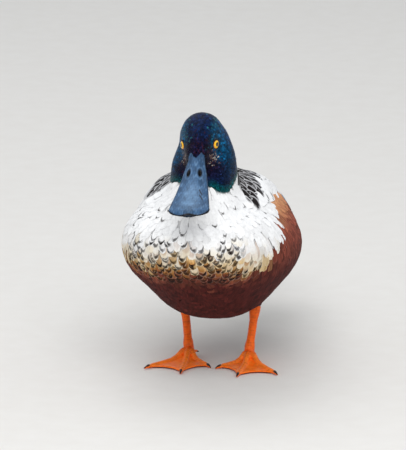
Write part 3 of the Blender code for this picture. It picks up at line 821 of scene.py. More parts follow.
def body_paint(points, s, t, long, hairy):
    """The body's markings, feather by feather: ground, streaks, gold and the breast's crescents."""
    n, tip = len(points), tip_of(points)
    low = breast_height(tip)
    behind = tip[:, 1] - side_edge(tip[:, 2])
    loose = mix(np.array((0.0010, 0.0018, 0.0032)), np.array((0.0010, 0.0022, 0.0016)), long[:, None])
    stray = rng.normal(size=(n, 3)) * (loose * mix(1.0, 0.5, ramp(tip[:, 1:2], 0.04, 0.06)))
    ground = body_ground(tip + stray)
    dark = ramp(ground[:, 0], 0.75, 0.35)
    base = ground * (1.0 + 0.20 * rng.normal(size=n) * dark).clip(0.55, 1.6)[:, None]
    inside = ramp(behind, -0.004, -0.016) * ramp(low, 0.140, 0.128)
    soft = np.maximum(inside, hairy * ramp(low, 0.130, 0.120))
    local = body_ground(points + 1.3 * stray[:, None, None, :])
    local = local * each(1.0 + 0.07 * rng.normal(size=n))[..., None]
    paint = blend(np.broadcast_to(base[:, None, None, :], points.shape), local, 0.85 * each(soft))
    streaks = rng.normal(size=(n, 1, points.shape[2])) * each(0.03 + 0.19 * dark) * ramp(s, 0.2, 0.6)
    paint *= (1.0 + streaks).clip(0.5, 1.6)[..., None]
    # a crescent is a dark U near the tip of a feather; the puffed white sides have hardly any
    puff = -0.017 * ramp(low, 0.103, 0.114) + 0.003 * rng.normal(size=n)
    zone = ramp(behind - puff, -0.006, -0.014)
    shoulders = np.maximum(ramp(tip[:, 0], 0.036, 0.043), ramp(tip[:, 0], -0.045, -0.051))
    zone = zone * (1 - 0.95 * shoulders * ramp(low, 0.104, 0.112))
    chance = 0.10 * ramp(low, 0.152, 0.146) + 0.65 * ramp(low, 0.131, 0.117)
    ink = (rng.random(n) < chance) * zone * ramp(low, 0.080, 0.092) * rng.uniform(0.8, 1.0, n)
    middle = each(rng.normal(0.88, 0.05, n))
    lean = each(rng.normal(0.0, 1.0, n))
    bend = s + 0.32 * np.abs(t) ** 1.8
    reach = each(mix(0.75, 1.05, ramp(low, 0.140, 0.125)))
    arms = ramp(np.abs(t), reach, reach - 0.3) * np.clip(1.0 + lean * t, 0.0, 1.0)
    thick = each(mix(0.055, 0.105, ramp(low, 0.130, 0.112)))
    arc = ramp(np.abs(bend - middle), thick + 0.045, thick)
    band = each(bump_at(low, 0.103, 0.019) * ramp(behind, 0.004, -0.010))
    golden = each(0.75 * rng.random(n) ** 1.5)
    second = each((rng.random(n) < 0.5) * ramp(low, 0.118, 0.108))
    arc = np.maximum(arc, second * ramp(np.abs(bend - middle + 0.24), 0.09, 0.05))
    return layered(
        paint,
        (GOLD, golden * band * ramp(bend, 0.95, 0.70)),
        (CREAM, 0.30 * band * ramp(bend, 0.90, 1.05)),
        (CRESCENT, arc * arms * each(ink)),
    )


def body_coat():
    """The feathers of breast, flanks, belly and rump: thin and hairy where white meets chestnut."""
    y, z = hull.points[:, 1], hull.points[:, 2]
    border = bump_at(y - side_edge(z), 0.002, 0.012) * ramp(z, 0.150, 0.140) * ramp(z, 0.085, 0.095)
    spacing = mix(3.7, 3.1, ramp(y, -0.085, -0.062)) + 0.5 * ramp(y, 0.01, 0.06)
    spacing = spacing - 1.3 * ramp(z, 0.140, 0.154) * ramp(y, -0.055, -0.080)
    spacing = spacing * (1 - 0.28 * border)
    spacing = np.maximum(spacing - 1.5 * ramp(z, 0.048, 0.036), 1.5) * MM
    wanted = FREE & (ON_HEAD < 0.5) & ~(ON_WING & (y > 0.05)) & (y < 0.128)
    where, face, share = hull.scatter(spacing, wanted.astype(float), seed=31)
    gap = hull.at(spacing[:, None], face, share)[:, 0]
    hairy = hull.at(border[:, None], face, share)[:, 0]
    x, y = np.abs(where[:, 0]), where[:, 1]
    long = np.maximum(ramp(y, -0.086, -0.064), ramp(x, 0.040, 0.050))
    shoulder = ramp(np.abs(np.abs(trunk_angle(where)) - flank_top(y) - 4.0), 9.0, 4.0)
    shoulder = shoulder * ramp(y, -0.050, -0.020) * ramp(y, 0.075, 0.060)
    length = gap * mix(3.0, 4.6, long) * (1 + 0.5 * hairy)
    half_width = gap * mix(0.80, 0.68, long) * (1 - 0.15 * hairy)
    points, up, s, t = lay(
        where, face, share, length, half_width, depth=gap * 0.10, lift=gap * 0.015, rows=CONTOUR_ROWS,
        columns=CONTOUR_COLUMNS, turn=6.0, fray=0.03, slim=0.35, camber=0.02, over=0.0009 * shoulder,
    )
    paint = body_paint(points, s, t, long, hairy)
    uv = unwrap(where, face, share)
    breast, rear, left = y < -0.075, y >= 0.0, where[:, 0] > 0
    groups = {
        "coat_breast": breast,
        "coat_side_left": ~breast & ~rear & left,
        "coat_side_right": ~breast & ~rear & ~left,
        "coat_rear_left": rear & left,
        "coat_rear_right": rear & ~left,
    }
    for name, chosen in groups.items():
        coat = Vanes()
        coat.add(*(v[chosen] for v in (points, up, paint, s, t, uv)))
        coat.piece(name, MATT, soften=0.78)


# --- Wings ---

LONG_ROWS = np.array([0.0, 0.12, 0.25, 0.38, 0.5, 0.62, 0.73, 0.82, 0.9, 0.96, 1.0])
LONG_COLUMNS = np.array([-1, -0.86, -0.62, -0.36, -0.15, -0.06, 0.06, 0.15, 0.36, 0.62, 0.86, 1.0])
BLUE = col(128, 158, 178)
BLACK = col(20, 22, 24)
BOTTLE = col(10, 60, 50)
SPECULUM = col(10, 108, 74)
BROWN = col(92, 78, 66)
ASH = col(132, 126, 118)


def on_side(y, angle, side):
    """The place on the hull at a distance along the bird and degrees from straight up."""
    out = []
    for at, turned in zip(np.broadcast_to(y, np.shape(angle)).tolist(), np.radians(angle).tolist()):
        ray = Vector((side * math.sin(turned), 0.0, math.cos(turned)))
        start = Vector((0.0, at, float(trunk_axis(at)))) + ray * 0.15
        hit = hull.tree.ray_cast(start, -ray)
        out.append(tuple(hit[0]))
    return np.array(out)


def row_of(side, count, y, angle, aim, paint, over, **how):
    """A row of feathers, their roots at y along the bird and at an angle from straight up.

    aim turns them down from straight back. Angles are in degrees. A pair is what a value runs between,
    from the row's first feather to its last.
    paint takes s, t and the place in the row, 0 to 1, and gives the colours.
    """
    place = np.linspace(0, 1, count)

    def run(v):
        return mix(v[0], v[1], place) if isinstance(v, tuple) else v

    y, angle, aim = (np.broadcast_to(run(v), count) for v in (y, angle, aim))
    where = on_side(y, angle, side)
    _, normal, face, share = hull.nearest(where)
    back = unit(np.array((0.0, 1.0, 0.0)) - normal * normal[:, 1:2])
    down = unit(np.cross(back, normal)) * side
    turned = np.radians(aim)[:, None]
    heading = back * np.cos(turned) + down * np.sin(turned)
    points, up, s, t = lay(
        where, face, share, depth=np.max(over) + 0.0006, over=run(over), rows=LONG_ROWS,
        columns=LONG_COLUMNS, heading=heading, steer=0.0, fray=0.006, turn=1.0,
        **{key: run(v) for key, v in how.items()},
    )
    colours = paint(s, side * t, each(place))
    colours *= (1.0 + 0.06 * rng.normal(size=count))[:, None, None, None]
    colours *= (1.0 + 0.05 * rng.normal(size=(count, 1, len(LONG_COLUMNS))))[..., None]
    return points, up, colours, s, t, unwrap(where, face, share)


def edged(middle, edge, s, t, start):
    """A vane whose sides have another colour, from a share of its half width outwards."""
    return blend(middle, edge, ramp(np.abs(t), start, start + 0.2) * ramp(s, 0.1, 0.4))


def streaked(middle, streak, s, t, width=0.07):
    """A vane with a streak along its shaft."""
    shaft = ramp(np.abs(t), width + 0.08, width)
    return blend(middle, streak, shaft * ramp(s, 0.10, 0.30) * ramp(s, 1.0, 0.92))


def flight_paint(s, t, place):
    return edged(col(38, 34, 32), col(166, 158, 146), s, t, 0.78)


def speculum_paint(s, t, place):
    return edged(blend(SPECULUM, WHITE, ramp(s, 0.90, 0.94)), BLACK, s, t, 0.86)


def bar_paint(s, t, place):
    return blend(edged(ASH, BROWN, s, t, 0.80), WHITE, ramp(s, 0.66, 0.76))


def forewing_paint(s, t, place):
    return edged(BLUE, BLUE * 0.72, s, t, 0.60)


def tertial_paint(s, t, place):
    return edged(streaked(mix(BOTTLE, BLACK, 0.5), WHITE, s, t), BLACK, s, t, 0.7)


def long_scapular_paint(s, t, place):
    return blend(streaked(BLACK, WHITE, s, t, 0.10), BLUE, ramp(place, 0.30, 0.0) * ramp(t, 0.1, 0.4))


def white_scapular_paint(s, t, place):
    line = ramp(np.abs(t + 0.25), 0.34, 0.22) * ramp(s, 0.98, 0.85)
    return blend(WHITE, BLACK, line * ramp(place, 0.1, 0.7))


def wing_coat(word, side):
    """A folded wing from its lowest and outermost feathers up, then the scapulars over its upper edge."""
    coat = Vanes()

    def row(*args, **how):
        coat.add(*row_of(side, *args, **how))

    for k in range(9):
        row(
            1, 0.010 + 0.004 * k, 56 - 2.6 * k, -5.0 + 0.7 * k, flight_paint, length=0.090 + 0.0058 * k,
            half_width=0.0056, lift=0.0006, over=0.0001 + 0.00016 * k, slim=0.7, point=0.55,
        )
    row(
        9, (0.030, 0.056), (63, 55), (0, -4), speculum_paint, length=(0.036, 0.040),
        half_width=0.0052, lift=0.0003, over=0.0009, slim=0.7, point=0.9,
    )
    row(
        10, (0.026, 0.050), (61, 53), (1, -4), bar_paint, length=0.026,
        half_width=0.0048, lift=0.0003, over=0.0011, slim=0.7, point=0.9,
    )
    for k in range(3):
        row(
            9, (0.025 - 0.003 * k, 0.044 - 0.005 * k), (58 - 3 * k, 50 - 2 * k), (3, -2), forewing_paint,
            length=0.018, half_width=0.0040, lift=0.0003, over=0.0010 + 0.0002 * k, slim=0.5,
        )
    row(
        6, (0.004, 0.020), (47, 26), (-3, 2), tertial_paint, length=(0.070, 0.092),
        half_width=(0.0066, 0.0080), lift=0.0003, over=(0.0011, 0.0016), slim=0.6, point=0.42,
    )
    row(
        8, (-0.018, 0.000), (46, 20), (0, 3), long_scapular_paint, length=(0.058, 0.074),
        half_width=0.0060, lift=0.0003, over=(0.0016, 0.0020), slim=0.55, point=0.40,
    )
    for k in range(3):
        row(
            7, (-0.030 - 0.010 * k, -0.012 - 0.010 * k), (46 - 0.5 * k, 24 + 3 * k), (3, 5),
            white_scapular_paint, length=0.044 - 0.006 * k, half_width=0.0046, lift=0.0002,
            over=0.0019 - 0.0002 * k, slim=0.5, point=0.55,
        )
    coat.piece(f"coat_wing_{word}", SATIN, soften=0.35)


# where the mantle's rows lie along the bird, and its feathers in each row, in degrees from straight up
MANTLE_ROWS, MANTLE_ANGLES = np.arange(-0.0940, 0.040, 0.0056), np.arange(-54.0, 54.1, 9.0)


def mantle_coat():
    """The broad pale-edged feathers of the back, in rows, and the white scapulars beside them."""
    coat = Vanes()
    for k, y in enumerate(MANTLE_ROWS):
        angle = MANTLE_ANGLES + 4.5 * (k % 2) + 0.8 * rng.normal(size=len(MANTLE_ANGLES))
        angle = angle[np.abs(angle) < flank_top(y) - 1.0]
        left = on_side(y + 0.0006 * rng.normal(), angle[angle >= 0], 1)
        where = np.concatenate([left, on_side(y, -angle[angle < 0], -1)])
        where = where[head_share(where) < 0.4]
        _, _, face, share = hull.nearest(where)
        points, up, s, t = lay(
            where, face, share, length=0.0160, half_width=0.0060, depth=0.0016, lift=0.0005,
            rows=LONG_ROWS, columns=LONG_COLUMNS, heading=np.broadcast_to((0.0, 1.0, 0.0), where.shape),
            steer=0.3, turn=2.0, fray=0.010, slim=0.5, over=0.0008, camber=0.04, sag=0.55,
        )
        n = len(where)
        bend = s + 0.26 * np.abs(t) ** 2.2 + 0.012 * rng.normal(size=(n, 1, 1))
        fringe = ramp(bend, 0.930, 0.962) * rng.uniform(0.6, 1.0, (n, 1, 1))
        inner = ramp(np.abs(bend - 0.79), 0.045, 0.02) * each(rng.random(n) < 0.40) * 0.5
        rear = float(ramp(y, 0.006, 0.036))
        pale = mix(mix(FRINGE, BROWN * 0.55, float(ramp(y, -0.020, 0.010))), RUMP * 1.6, rear)
        dark = blend(mix(MANTLE, RUMP, rear), pale, np.maximum(fringe, inner))
        line = ramp(np.abs(bend - 0.86), 0.06, 0.03) * each(rng.random(n) < 0.45)
        line = line * ramp(t * each(np.sign(where[:, 0])), 0.3, -0.2)
        white = ramp(np.abs(trunk_angle(where)) - mantle_edge(y), -1.5, 1.5)
        paint = blend(dark, blend(WHITE, MANTLE, line), each(white))
        paint = blend(WHITE, paint, on_mantle(points))
        coat.add(points, up, paint, s, t, unwrap(where, face, share))
    coat.piece("coat_mantle", MATT, soften=0.4)


# --- Tail ---

TAIL_ROOT = LAYOUT + np.array((0.0, 0.094, 0.0880))
TAIL_LENGTH, TAIL_FEATHERS, TAIL_HALF_ANGLE, TAIL_DROOP = 0.086, 14, 15.0, 10.0


def tail_coat():
    """The tail's fan: brown in the middle and nearly white outside."""
    coat = Vanes()
    s, t = np.meshgrid(LONG_ROWS, LONG_COLUMNS, indexing="ij")
    down, level = math.sin(math.radians(TAIL_DROOP)), math.cos(math.radians(TAIL_DROOP))
    for k in range(TAIL_FEATHERS):
        v = 2 * (k + 0.5) / TAIL_FEATHERS - 1
        turn = math.radians(TAIL_HALF_ANGLE) * v
        length = TAIL_LENGTH * (1 - 0.20 * abs(v) ** 1.3) - 0.004
        width = 0.0068 * (0.5 + 0.5 * np.sin(np.clip(s / 0.6, 0, 1) * math.pi / 2))
        out = width * (1 - 0.45 * ramp(s, 0.6, 1.0)) * np.sin(t * math.pi / 2)
        along = 0.012 + length * s - 0.0085 * s ** 2 * (1 - np.cos(t * math.pi / 2))
        x = math.sin(turn) * along * mix(0.75, 1.0, s) + math.cos(turn) * out + 0.003 * v
        y = math.cos(turn) * along - math.sin(turn) * out
        lift = 0.0022 * (1 - s) + 0.0004 - 0.0016 * abs(v) - 5.5 * x * x
        lift = lift - 0.0006 * t * (1 if v > 0 else -1) - 0.0005 * t * t
        points = TAIL_ROOT + np.stack([x, y * level + lift * down, lift * level - y * down], -1)
        outer = ramp(abs(v), 0.35, 1.0)
        middle = mix(col(66, 56, 48), col(178, 168, 154), outer)
        colours = edged(middle, mix(col(176, 166, 150), WHITE, outer), s, t, 0.62)
        colours = blend(colours, BROWN * 0.6, 0.8 * ramp(np.abs(t), 0.10, 0.05))
        uv = np.array([[0.05 + 0.9 * (k + 0.5) / TAIL_FEATHERS, 0.5]])
        up = np.broadcast_to((0.0, down, level), points.shape)
        coat.add(points[None], up[None], colours[None], s[None], t[None], uv)
    coat.piece("coat_tail", MATT, soften=0.2)


# --- Bill ---

BILL_TIP, BILL_ROOT = 0.0845, 0.0145
SLATE = col(49, 84, 120)
SLATE_PALE = col(102, 136, 170)
SLATE_DARK = col(25, 44, 68)
NAIL = col(16, 16, 20)


BILL_LENGTH = BILL_TIP - BILL_BASE


def bill_half_width(s):
    """Half the bill's width at a share of its length, with the round end of the spatula."""
    flare = mix(0.0061, 0.0151, np.clip(s / 0.92, 0.0, 1.0) ** 0.82)
    return np.where(s > 0.87, flare * bow((s - 0.87) / 0.13, 2.6, 0.5), flare)


def bill_top(s):
    """The height of the bill's ridge, which runs up the forehead behind the edge of the feathers."""
    arch = 0.0030 * np.sin(math.pi * np.clip(s, 0, 1)) ** 1.2
    brow = 0.030 * np.maximum(-s, 0.0)
    return mix(0.0020, -0.0118, s) - arch + brow - 0.14 * np.maximum(-s - 0.075, 0.0)


def bill_line(s):
    """The height of the line where the bill's halves meet."""
    return bill_top(s) - mix(0.0100, 0.0032, ramp(s * 1.15, 0, 1) ** 0.8)


def on_horn(s, across, height):
    """Places in the head's axes from shares of the bill's length, places across it and heights."""
    return np.stack([mix(BILL_BASE, BILL_TIP, s) + 0 * across, across, height], -1)


def tube_piece(name, rings, paint, material, replaces=()):
    """A tube round a row of rings, with each end closed by a fan of triangles to its middle."""
    count, around = rings.shape[:2]
    index = np.arange(count * around).reshape(count, around)
    turned = np.roll(index, -1, axis=1)
    quads = np.stack([index[:-1], turned[:-1], turned[1:], index[1:]], -1).reshape(-1, 4)
    first, last = (np.full(around, count * around + k) for k in range(2))
    fans = [np.stack([turned[0], index[0], first], -1), np.stack([index[-1], turned[-1], last], -1)]
    bm = bmesh.new()
    points = np.concatenate([rings.reshape(-1, 3), [rings[0].mean(0), rings[-1].mean(0)]])
    verts = [bm.verts.new(p) for p in points.tolist()]
    for face in quads.tolist() + np.concatenate(fans).tolist():
        bm.faces.new([verts[i] for i in face])
    bmesh.ops.recalc_face_normals(bm, faces=bm.faces)
    obj = object_of(name, bm)
    obj.data.shade_smooth()
    painted(obj.data, np.concatenate([paint.reshape(-1, 3), [paint[0].mean(0), paint[-1].mean(0)]]))
    dressed(obj, material, replaces)


SCRATCHES = ((0.575, 0.0066), (0.675, 0.0074))  # the share of the bill's length, and the place across it


def upper_bill(s, horn):
    """The upper mandible: a dome over its rim, with the nail, the nostrils and a comb under each edge."""
    a = np.linspace(0, math.pi, 81)[None, :]
    w, high, low = bill_half_width(s), bill_top(s), bill_line(s)
    high = low + np.maximum((high - low) * bow(s, 16.0, 0.5), 0.0012)
    rim = 0.28 * (high - low)
    across = w * np.cos(a)
    beside = np.abs(across)
    share = np.abs(np.cos(a))
    dome = low + rim + (high - low - rim) * np.sin(a) ** 0.8
    # the corners beside the forehead, the hollows of the sides and the tip, and the swollen edge
    corner = bump_at(beside, 0.0050, 0.0028)
    dome = dome + corner * (0.0007 * ramp(s, -0.01, -0.06) + 0.14 * np.clip(-s - 0.075, 0.0, 0.018))
    dome = dome - 0.0007 * bump_at(share, 0.60, 0.35) * ramp(s, 0.02, 0.12) * ramp(s, 0.62, 0.35)
    dome = dome - 0.0006 * bump_at(share, 0.0, 0.45) * ramp(s, 0.62, 0.80) * ramp(s, 0.98, 0.88)
    dome = dome + 0.0004 * ramp(share, 0.80, 0.95) * ramp(s, 0.55, 0.75) * ramp(s, 0.99, 0.93)
    nail = ramp(np.hypot(across / 0.0040, (s - 1.0) * BILL_LENGTH / 0.0075), 1.1, 0.85)
    dome = dome + 0.00045 * nail - 0.0014 * ramp(beside, 0.0040, 0.0) * ramp(s, 0.965, 1.0)
    nostril = np.hypot((s - 0.245) * BILL_LENGTH / 0.0029, (beside - 0.0041) / 0.00115)
    dome = dome - 0.0017 * ramp(nostril, 1.05, 0.45) + 0.00022 * bump_at(nostril, 1.45, 0.5)
    grain = noise(np.stack([s * 0.06 + 0 * a, across, 0 * dome], -1), 0.0013, 9)
    dome = dome + 0.00004 * grain
    under_a = np.linspace(math.pi, 0, 42)[None, 1:-1]
    teeth = 0.5 + 0.5 * np.sign(np.sin(s * BILL_LENGTH / 0.00055 * math.pi))
    comb = 0.0006 * teeth * ramp(np.abs(np.cos(under_a)), 0.93, 0.99)
    comb = comb * ramp(s, 0.08, 0.16) * ramp(s, 0.90, 0.82)
    roof = low - comb + 0.0009 * np.sin(under_a) * ramp(s, 0.0, 0.3)
    under = on_horn(s, 0.985 * w * np.cos(under_a), roof)
    rings = from_head(np.concatenate([on_horn(s, across, dome), under], axis=1))
    # a darker arc across the bill near its tip, painted shade of a shallow groove there
    groove = bump_at(s + 0.10 * (beside / 0.015) ** 2, 0.86, 0.06)
    lip = mix(0.986, 0.974, bump_at(across, 0.0, 0.0040))
    paint = layered(
        SLATE,
        # painted highlight: paler along the top middle of the bill; painted shade: darker down its sides
        # and in the hollows of the sides
        (SLATE_PALE, ramp(share, 0.75, 0.1) * ramp(s, 0.25, 0.60) * ramp(s, 0.97, 0.85) * 0.75),
        (SLATE_DARK, ramp(share, 0.86, 1.0) * 0.8),
        (SLATE_DARK, 0.55 * bump_at(share, 0.60, 0.35) * ramp(s, 0.55, 0.2)),
        (SLATE_DARK, 0.35 * ramp(grain, 0.2, 0.9)),
        (SLATE_PALE, 0.45 * ramp(grain, -0.2, -0.9)),
        # painted shade along the groove near the tip
        (SLATE_DARK, 0.35 * groove * ramp(share, 0.95, 0.6)),
        (NAIL, np.maximum(0.25 * nail, ramp(s - lip, -0.006, 0.006))),
        (NAIL, ramp(share, 0.965, 0.990) * ramp(s, 0.55, 0.80)),
        (SLATE_PALE, 0.35 * bump_at(nostril, 1.9, 0.6)),
        # painted shade of the nostrils: darker round them and black in their pits
        (SLATE_DARK, 0.7 * ramp(nostril, 1.7, 1.3)),
        (col(2, 2, 3), ramp(nostril, 1.25, 1.0)),
    )
    for along, aside in SCRATCHES:
        off = np.abs((s - along) * BILL_LENGTH - 2.2 * (across - aside)) / 0.0010
        short = ramp(np.abs(across - aside), 0.0017, 0.0012)
        paint = blend(paint, NAIL, 0.95 * ramp(off, 1.3, 0.7) * short)
    paint = np.concatenate([paint, np.broadcast_to(SLATE_DARK * 0.5, under.shape)], axis=1)
    tube_piece("bill_upper_horn", rings, paint, horn, ["bill_upper"])


def lower_bill(s, horn):
    """The lower mandible, narrower than the upper, with a groove along its underside."""
    b = np.linspace(0, 2 * math.pi, 64, endpoint=False)[None, :]
    s = np.where(s < 0, s, 0.965 * s)
    w = (bill_half_width(np.minimum(s + 0.03, 1.0)) - 0.0013) * bow(s, 26.0, 0.5)
    top = bill_line(s) - 0.0003
    thick = mix(0.0046, 0.0019, ramp(s * 1.3, 0, 1))
    groove = 1 - 0.30 * bump_at(np.abs(np.cos(b)), 0, 0.5) * ramp(s, 0.1, 0.5)
    belly = np.where(np.sin(b) < 0, -np.abs(np.sin(b)) ** 0.7 * thick * groove, 0.0)
    rings = from_head(on_horn(s, w * np.cos(b), top + belly))
    paint = blend(SLATE_DARK, col(150, 112, 92), 0.35 * bump_at(np.cos(b), 0, 0.8) * ramp(s, 0.9, 0.2))
    tube_piece("bill_lower_horn", rings, paint, horn, ["bill_lower"])


def make_bill():
    root = (BILL_ROOT - BILL_BASE) / BILL_LENGTH
    s = mix(root, 0.999, 1 - (1 - np.linspace(0, 1, 170)) ** 1.25)[:, None]
    horn = horn_material("bill_skin")
    upper_bill(s, horn)
    lower_bill(s, horn)


# --- Eyes ---

EYE_FORWARD = 27.0  # degrees that each eye looks ahead of straight sideways
EYE_OPENING = 41.0  # degrees from the middle of the eye to its lids


def eye_axes(side):
    """An eye's own axes in the frame: ahead, up, and out through its middle."""
    turn = math.radians(EYE_FORWARD)
    out = unit(np.array((math.sin(turn), side * math.cos(turn), 0.14)))
    up = unit(np.array((0.0, 0.0, 1.0)) - out * out[2])
    return np.stack([np.cross(up, out), up, out], 0) @ HEAD_ARRAY[:3, :3].T


def on_ball(axes, angle, turn, radius):
    """Points at degrees from the eye's middle and round it."""
    angle, turn = np.radians(angle), np.radians(turn)
    wide = np.sin(angle)
    parts = np.stack([wide * np.cos(turn), wide * np.sin(turn), np.cos(angle) + 0 * turn], -1)
    return np.asarray(radius)[..., None] * (parts @ axes)


def make_eye(word, side):
    """An eyeball with its pupil and iris, and its lids."""
    axes, middle = eye_axes(side), EYES[side]
    angle = np.concatenate([np.linspace(0.5, 60, 80), np.linspace(63, 179.5, 24)])[:, None]
    turn = np.arange(0, 360, 4.0)[None, :]
    t = np.radians(turn)
    rays = 0.5 + 0.5 * np.sin(t * 23) * np.sin(t * 7 + 1)
    paint = layered(
        col(252, 204, 18),
        (col(232, 128, 12), np.clip(0.35 * rays + 0.8 * ramp(angle, 30, 42), 0, 1)),  # rays and rim
        (col(5, 5, 6), ramp(angle, 20.5, 18.5)),  # the pupil
        (col(26, 18, 12), ramp(angle, 42, 46)),  # what the lids cover
    )
    rings = on_ball(axes, angle, turn, EYE_RADIUS * (1.0 + 0.035 * ramp(angle, 40, 20)))
    front = np.maximum(rings @ axes[2] - EYE_RADIUS * math.cos(math.radians(EYE_OPENING)), 0.0)
    rings = middle + rings - 0.25 * front[..., None] * axes[2]
    tube_piece(f"eyeball_{word}", rings, paint, wet_material(f"eye_{word}_wet"), [f"eye_{word}"])
    # the lids: a fleshy rim, rolled out over the feathers and closed behind
    k = np.linspace(0, 1, 15)[:, None]
    spread = EYE_OPENING + 2.0 * np.cos(2 * t) - 1.5 * np.sin(t) + mix(0.0, 22.0, k)
    roll = 0.00050 * np.sin(math.pi * np.clip(k * 1.15, 0, 1)) ** 0.8 - 0.0022 * ramp(k, 0.5, 1.0)
    wrinkle = 0.00005 * np.sin(t * 26) * np.sin(math.pi * k)
    over = on_ball(axes, spread, turn, EYE_RADIUS + 0.00012 + roll + wrinkle)
    under = on_ball(axes, spread[::-1] + 1.0, turn, EYE_RADIUS - 0.0006)
    rings = middle + np.concatenate([over, under])
    index = np.arange(len(rings) * turn.size).reshape(len(rings), turn.size)
    right, down = np.roll(index, -1, axis=1), np.roll(index, -1, axis=0)
    quads = np.stack([index, right, np.roll(right, -1, axis=0), down], -1).reshape(-1, 4)
    skin = horn_material(f"lid_{word}_skin", 0.5)
    lid = mesh_piece(f"eyelids_{word}", rings.reshape(-1, 3), quads, skin)
    painted(lid.data, np.broadcast_to(col(22, 24, 30), (index.size, 3)))


# --- Legs and feet ---

FOOT_SPREAD, FOOT_JOINT_HEIGHT, HOCK_HEIGHT, HOCK_BACK = 0.0230, 0.0085, 0.041, 0.008
FOOT_TURN = {1: 0.0, -1: 4.0}
HOCK_OUT = {1: 0.0030, -1: 0.0050}
TOES = ((0.0435, 0.0), (0.030, -36.0), (0.042, 38.0))
SCUTE, SMALL_SCUTE, TOE_PLATE = 0.0019, 0.0010, 0.0016  # how long the scales are
ORANGE = col(255, 112, 20)
DEEP_ORANGE = col(224, 66, 18)
# the paler orange of the painted highlights on toes and web
PAINTED_HIGHLIGHT_ORANGE = col(255, 156, 62)


def toe_lines(side):
    """The foot joint, and each front toe's way and length."""
    joint = LAYOUT + np.array((side * FOOT_SPREAD, 0.0, FOOT_JOINT_HEIGHT))
    ways = []
    for length, angle in TOES:
        turned = math.radians(FOOT_TURN[side] + angle * side)
        ways.append((np.array((math.sin(turned), -math.cos(turned), 0.0)), length))
    return joint, ways


def make_leg(word, side):
    """One leg and webbed foot, raised into scutes on the CAD shape, with its four claws."""
    nodes = [f"leg_{word}", f"foot_{word}"]
    shape = merged("leg", nodes, voxel=0.00048, smooth=3)
    points, corners = arrays(shape.data)
    bpy.data.objects.remove(shape)
    normal = Surface(points, corners).normals
    joint, ways = toe_lines(side)
    hock = LAYOUT + np.array((side * (FOOT_SPREAD + HOCK_OUT[side]), HOCK_BACK, HOCK_HEIGHT))
    rise = (points - joint) @ unit(hock - joint)
    # broad scutes up the front of the leg, small ones behind
    shank = ramp(rise, 0.001, 0.004)
    front = ramp(normal[:, 1], 0.3, -0.3)
    scute = np.abs(np.sin(math.pi * rise / SCUTE)) ** 0.5
    fine = np.abs(np.sin(math.pi * rise / SMALL_SCUTE) * np.sin(points[:, 0] / 0.00045))
    swell = shank * 0.00016 * mix(fine, scute, front)
    dark = shank * (1 - scute) * front
    # and one row along each toe
    toe_near = np.zeros(len(points))
    for way, length in ways:
        along = (points - joint) @ way
        beside = np.linalg.norm((points - joint - along[:, None] * way)[:, :2], axis=1)
        on = ramp(beside, 0.0027, 0.0016) * ramp(along, 0.002, 0.005)
        on = on * ramp(along, length + 0.001, length) * ramp(normal[:, 2], 0.0, 0.5)
        plate = np.abs(np.sin(math.pi * along / TOE_PLATE)) ** 0.5
        swell = np.maximum(swell, on * 0.00022 * plate)
        dark = np.maximum(dark, on * (1 - plate))
        toe_near = np.maximum(toe_near, on)
    web = (1 - toe_near) * (1 - shank) * ramp(normal[:, 2], 0.2, 0.6)
    lattice = noise(points, 0.0009, 4)
    points = points + normal * (swell + 0.00006 * web * lattice)[:, None]
    points[:, 2] = np.maximum(points[:, 2], 0.0)
    leg = mesh_piece(
        f"leg_skin_{word}", points, corners, horn_material(f"leg_{word}_scales", 0.42), nodes
    )
    painted(leg.data, layered(
        ORANGE,
        # painted highlight: paler on the faces of toes and web turned up, broken by the web's lattice
        (PAINTED_HIGHLIGHT_ORANGE, 0.5 * web * ramp(lattice, -0.5, 0.8) + 0.45 * toe_near),
        (DEEP_ORANGE, 0.6 * dark),
        (DEEP_ORANGE, 0.5 * bump_at(rise, 0.0, 0.004)),
        # painted shade: darker on the faces of the foot turned down
        (DEEP_ORANGE * 0.7, 0.7 * ramp(normal[:, 2], -0.2, -0.7) * (1 - shank)),
    ))
    for k, (way, length) in enumerate(ways):
        start = joint * (1, 1, 0) + way * (length - 0.0010)
        make_claw(f"claw_{word}_{k}", start, way, height=0.0019, length=0.0056)
    hind = unit(np.array((-0.25 * side, 1.0, -0.12)))
    start = joint + np.array((-0.0044 * side, 0.0100, -0.0055))
    make_claw(f"claw_{word}_hind", start, hind, height=0.0, length=0.0030, girth=0.0007)


def make_claw(name, start, way, height, length, girth=0.00125):
    """A blunt curved claw."""
    k = np.linspace(0, 1, 14)[:, None]
    turn = np.radians(np.arange(0, 360, 20.0))[None, :]
    upright = np.array((0, 0, 1.0))
    across = unit(np.cross(way, upright))
    up = np.cross(across, way)
    radius = girth * np.sqrt(np.clip(1.03 - k ** 1.7, 0, 1)) * np.clip(1.15 - 0.5 * k, 0, 1)
    middle = start + way * (length * k[..., None]) + upright * (height - 0.0009 * k ** 2)[..., None]
    rings = middle + across * (0.85 * radius * np.cos(turn))[..., None]
    rings = rings + up * (radius * np.sin(turn))[..., None]
    rings[..., 2] = np.maximum(rings[..., 2], 0.0)
    paint = blend(col(62, 46, 42), col(24, 20, 22), ramp(k, 0.2, 0.9) + 0 * turn)
    tube_piece(name, rings, paint, CLAW)


# --- The studio ---

def floor_material():
    made, tree, shader = shader_of("pale_floor", {"Roughness": 0.9})
    place = node(tree, "ShaderNodeTexCoord")
    speckle = node(tree, "ShaderNodeTexNoise", Scale=60.0, Detail=3.0)
    tones = node(tree, "ShaderNodeValToRGB")
    for element, tone in zip(tones.color_ramp.elements, (col(224, 221, 216), col(230, 228, 224))):
        element.color = (*tone, 1)
    wire(
        tree,
        (place.outputs["Object"], speckle.inputs["Vector"]),
        (speckle.outputs["Fac"], tones.inputs["Fac"]),
        (tones.outputs["Color"], shader.inputs["Base Color"]),
    )
    return made


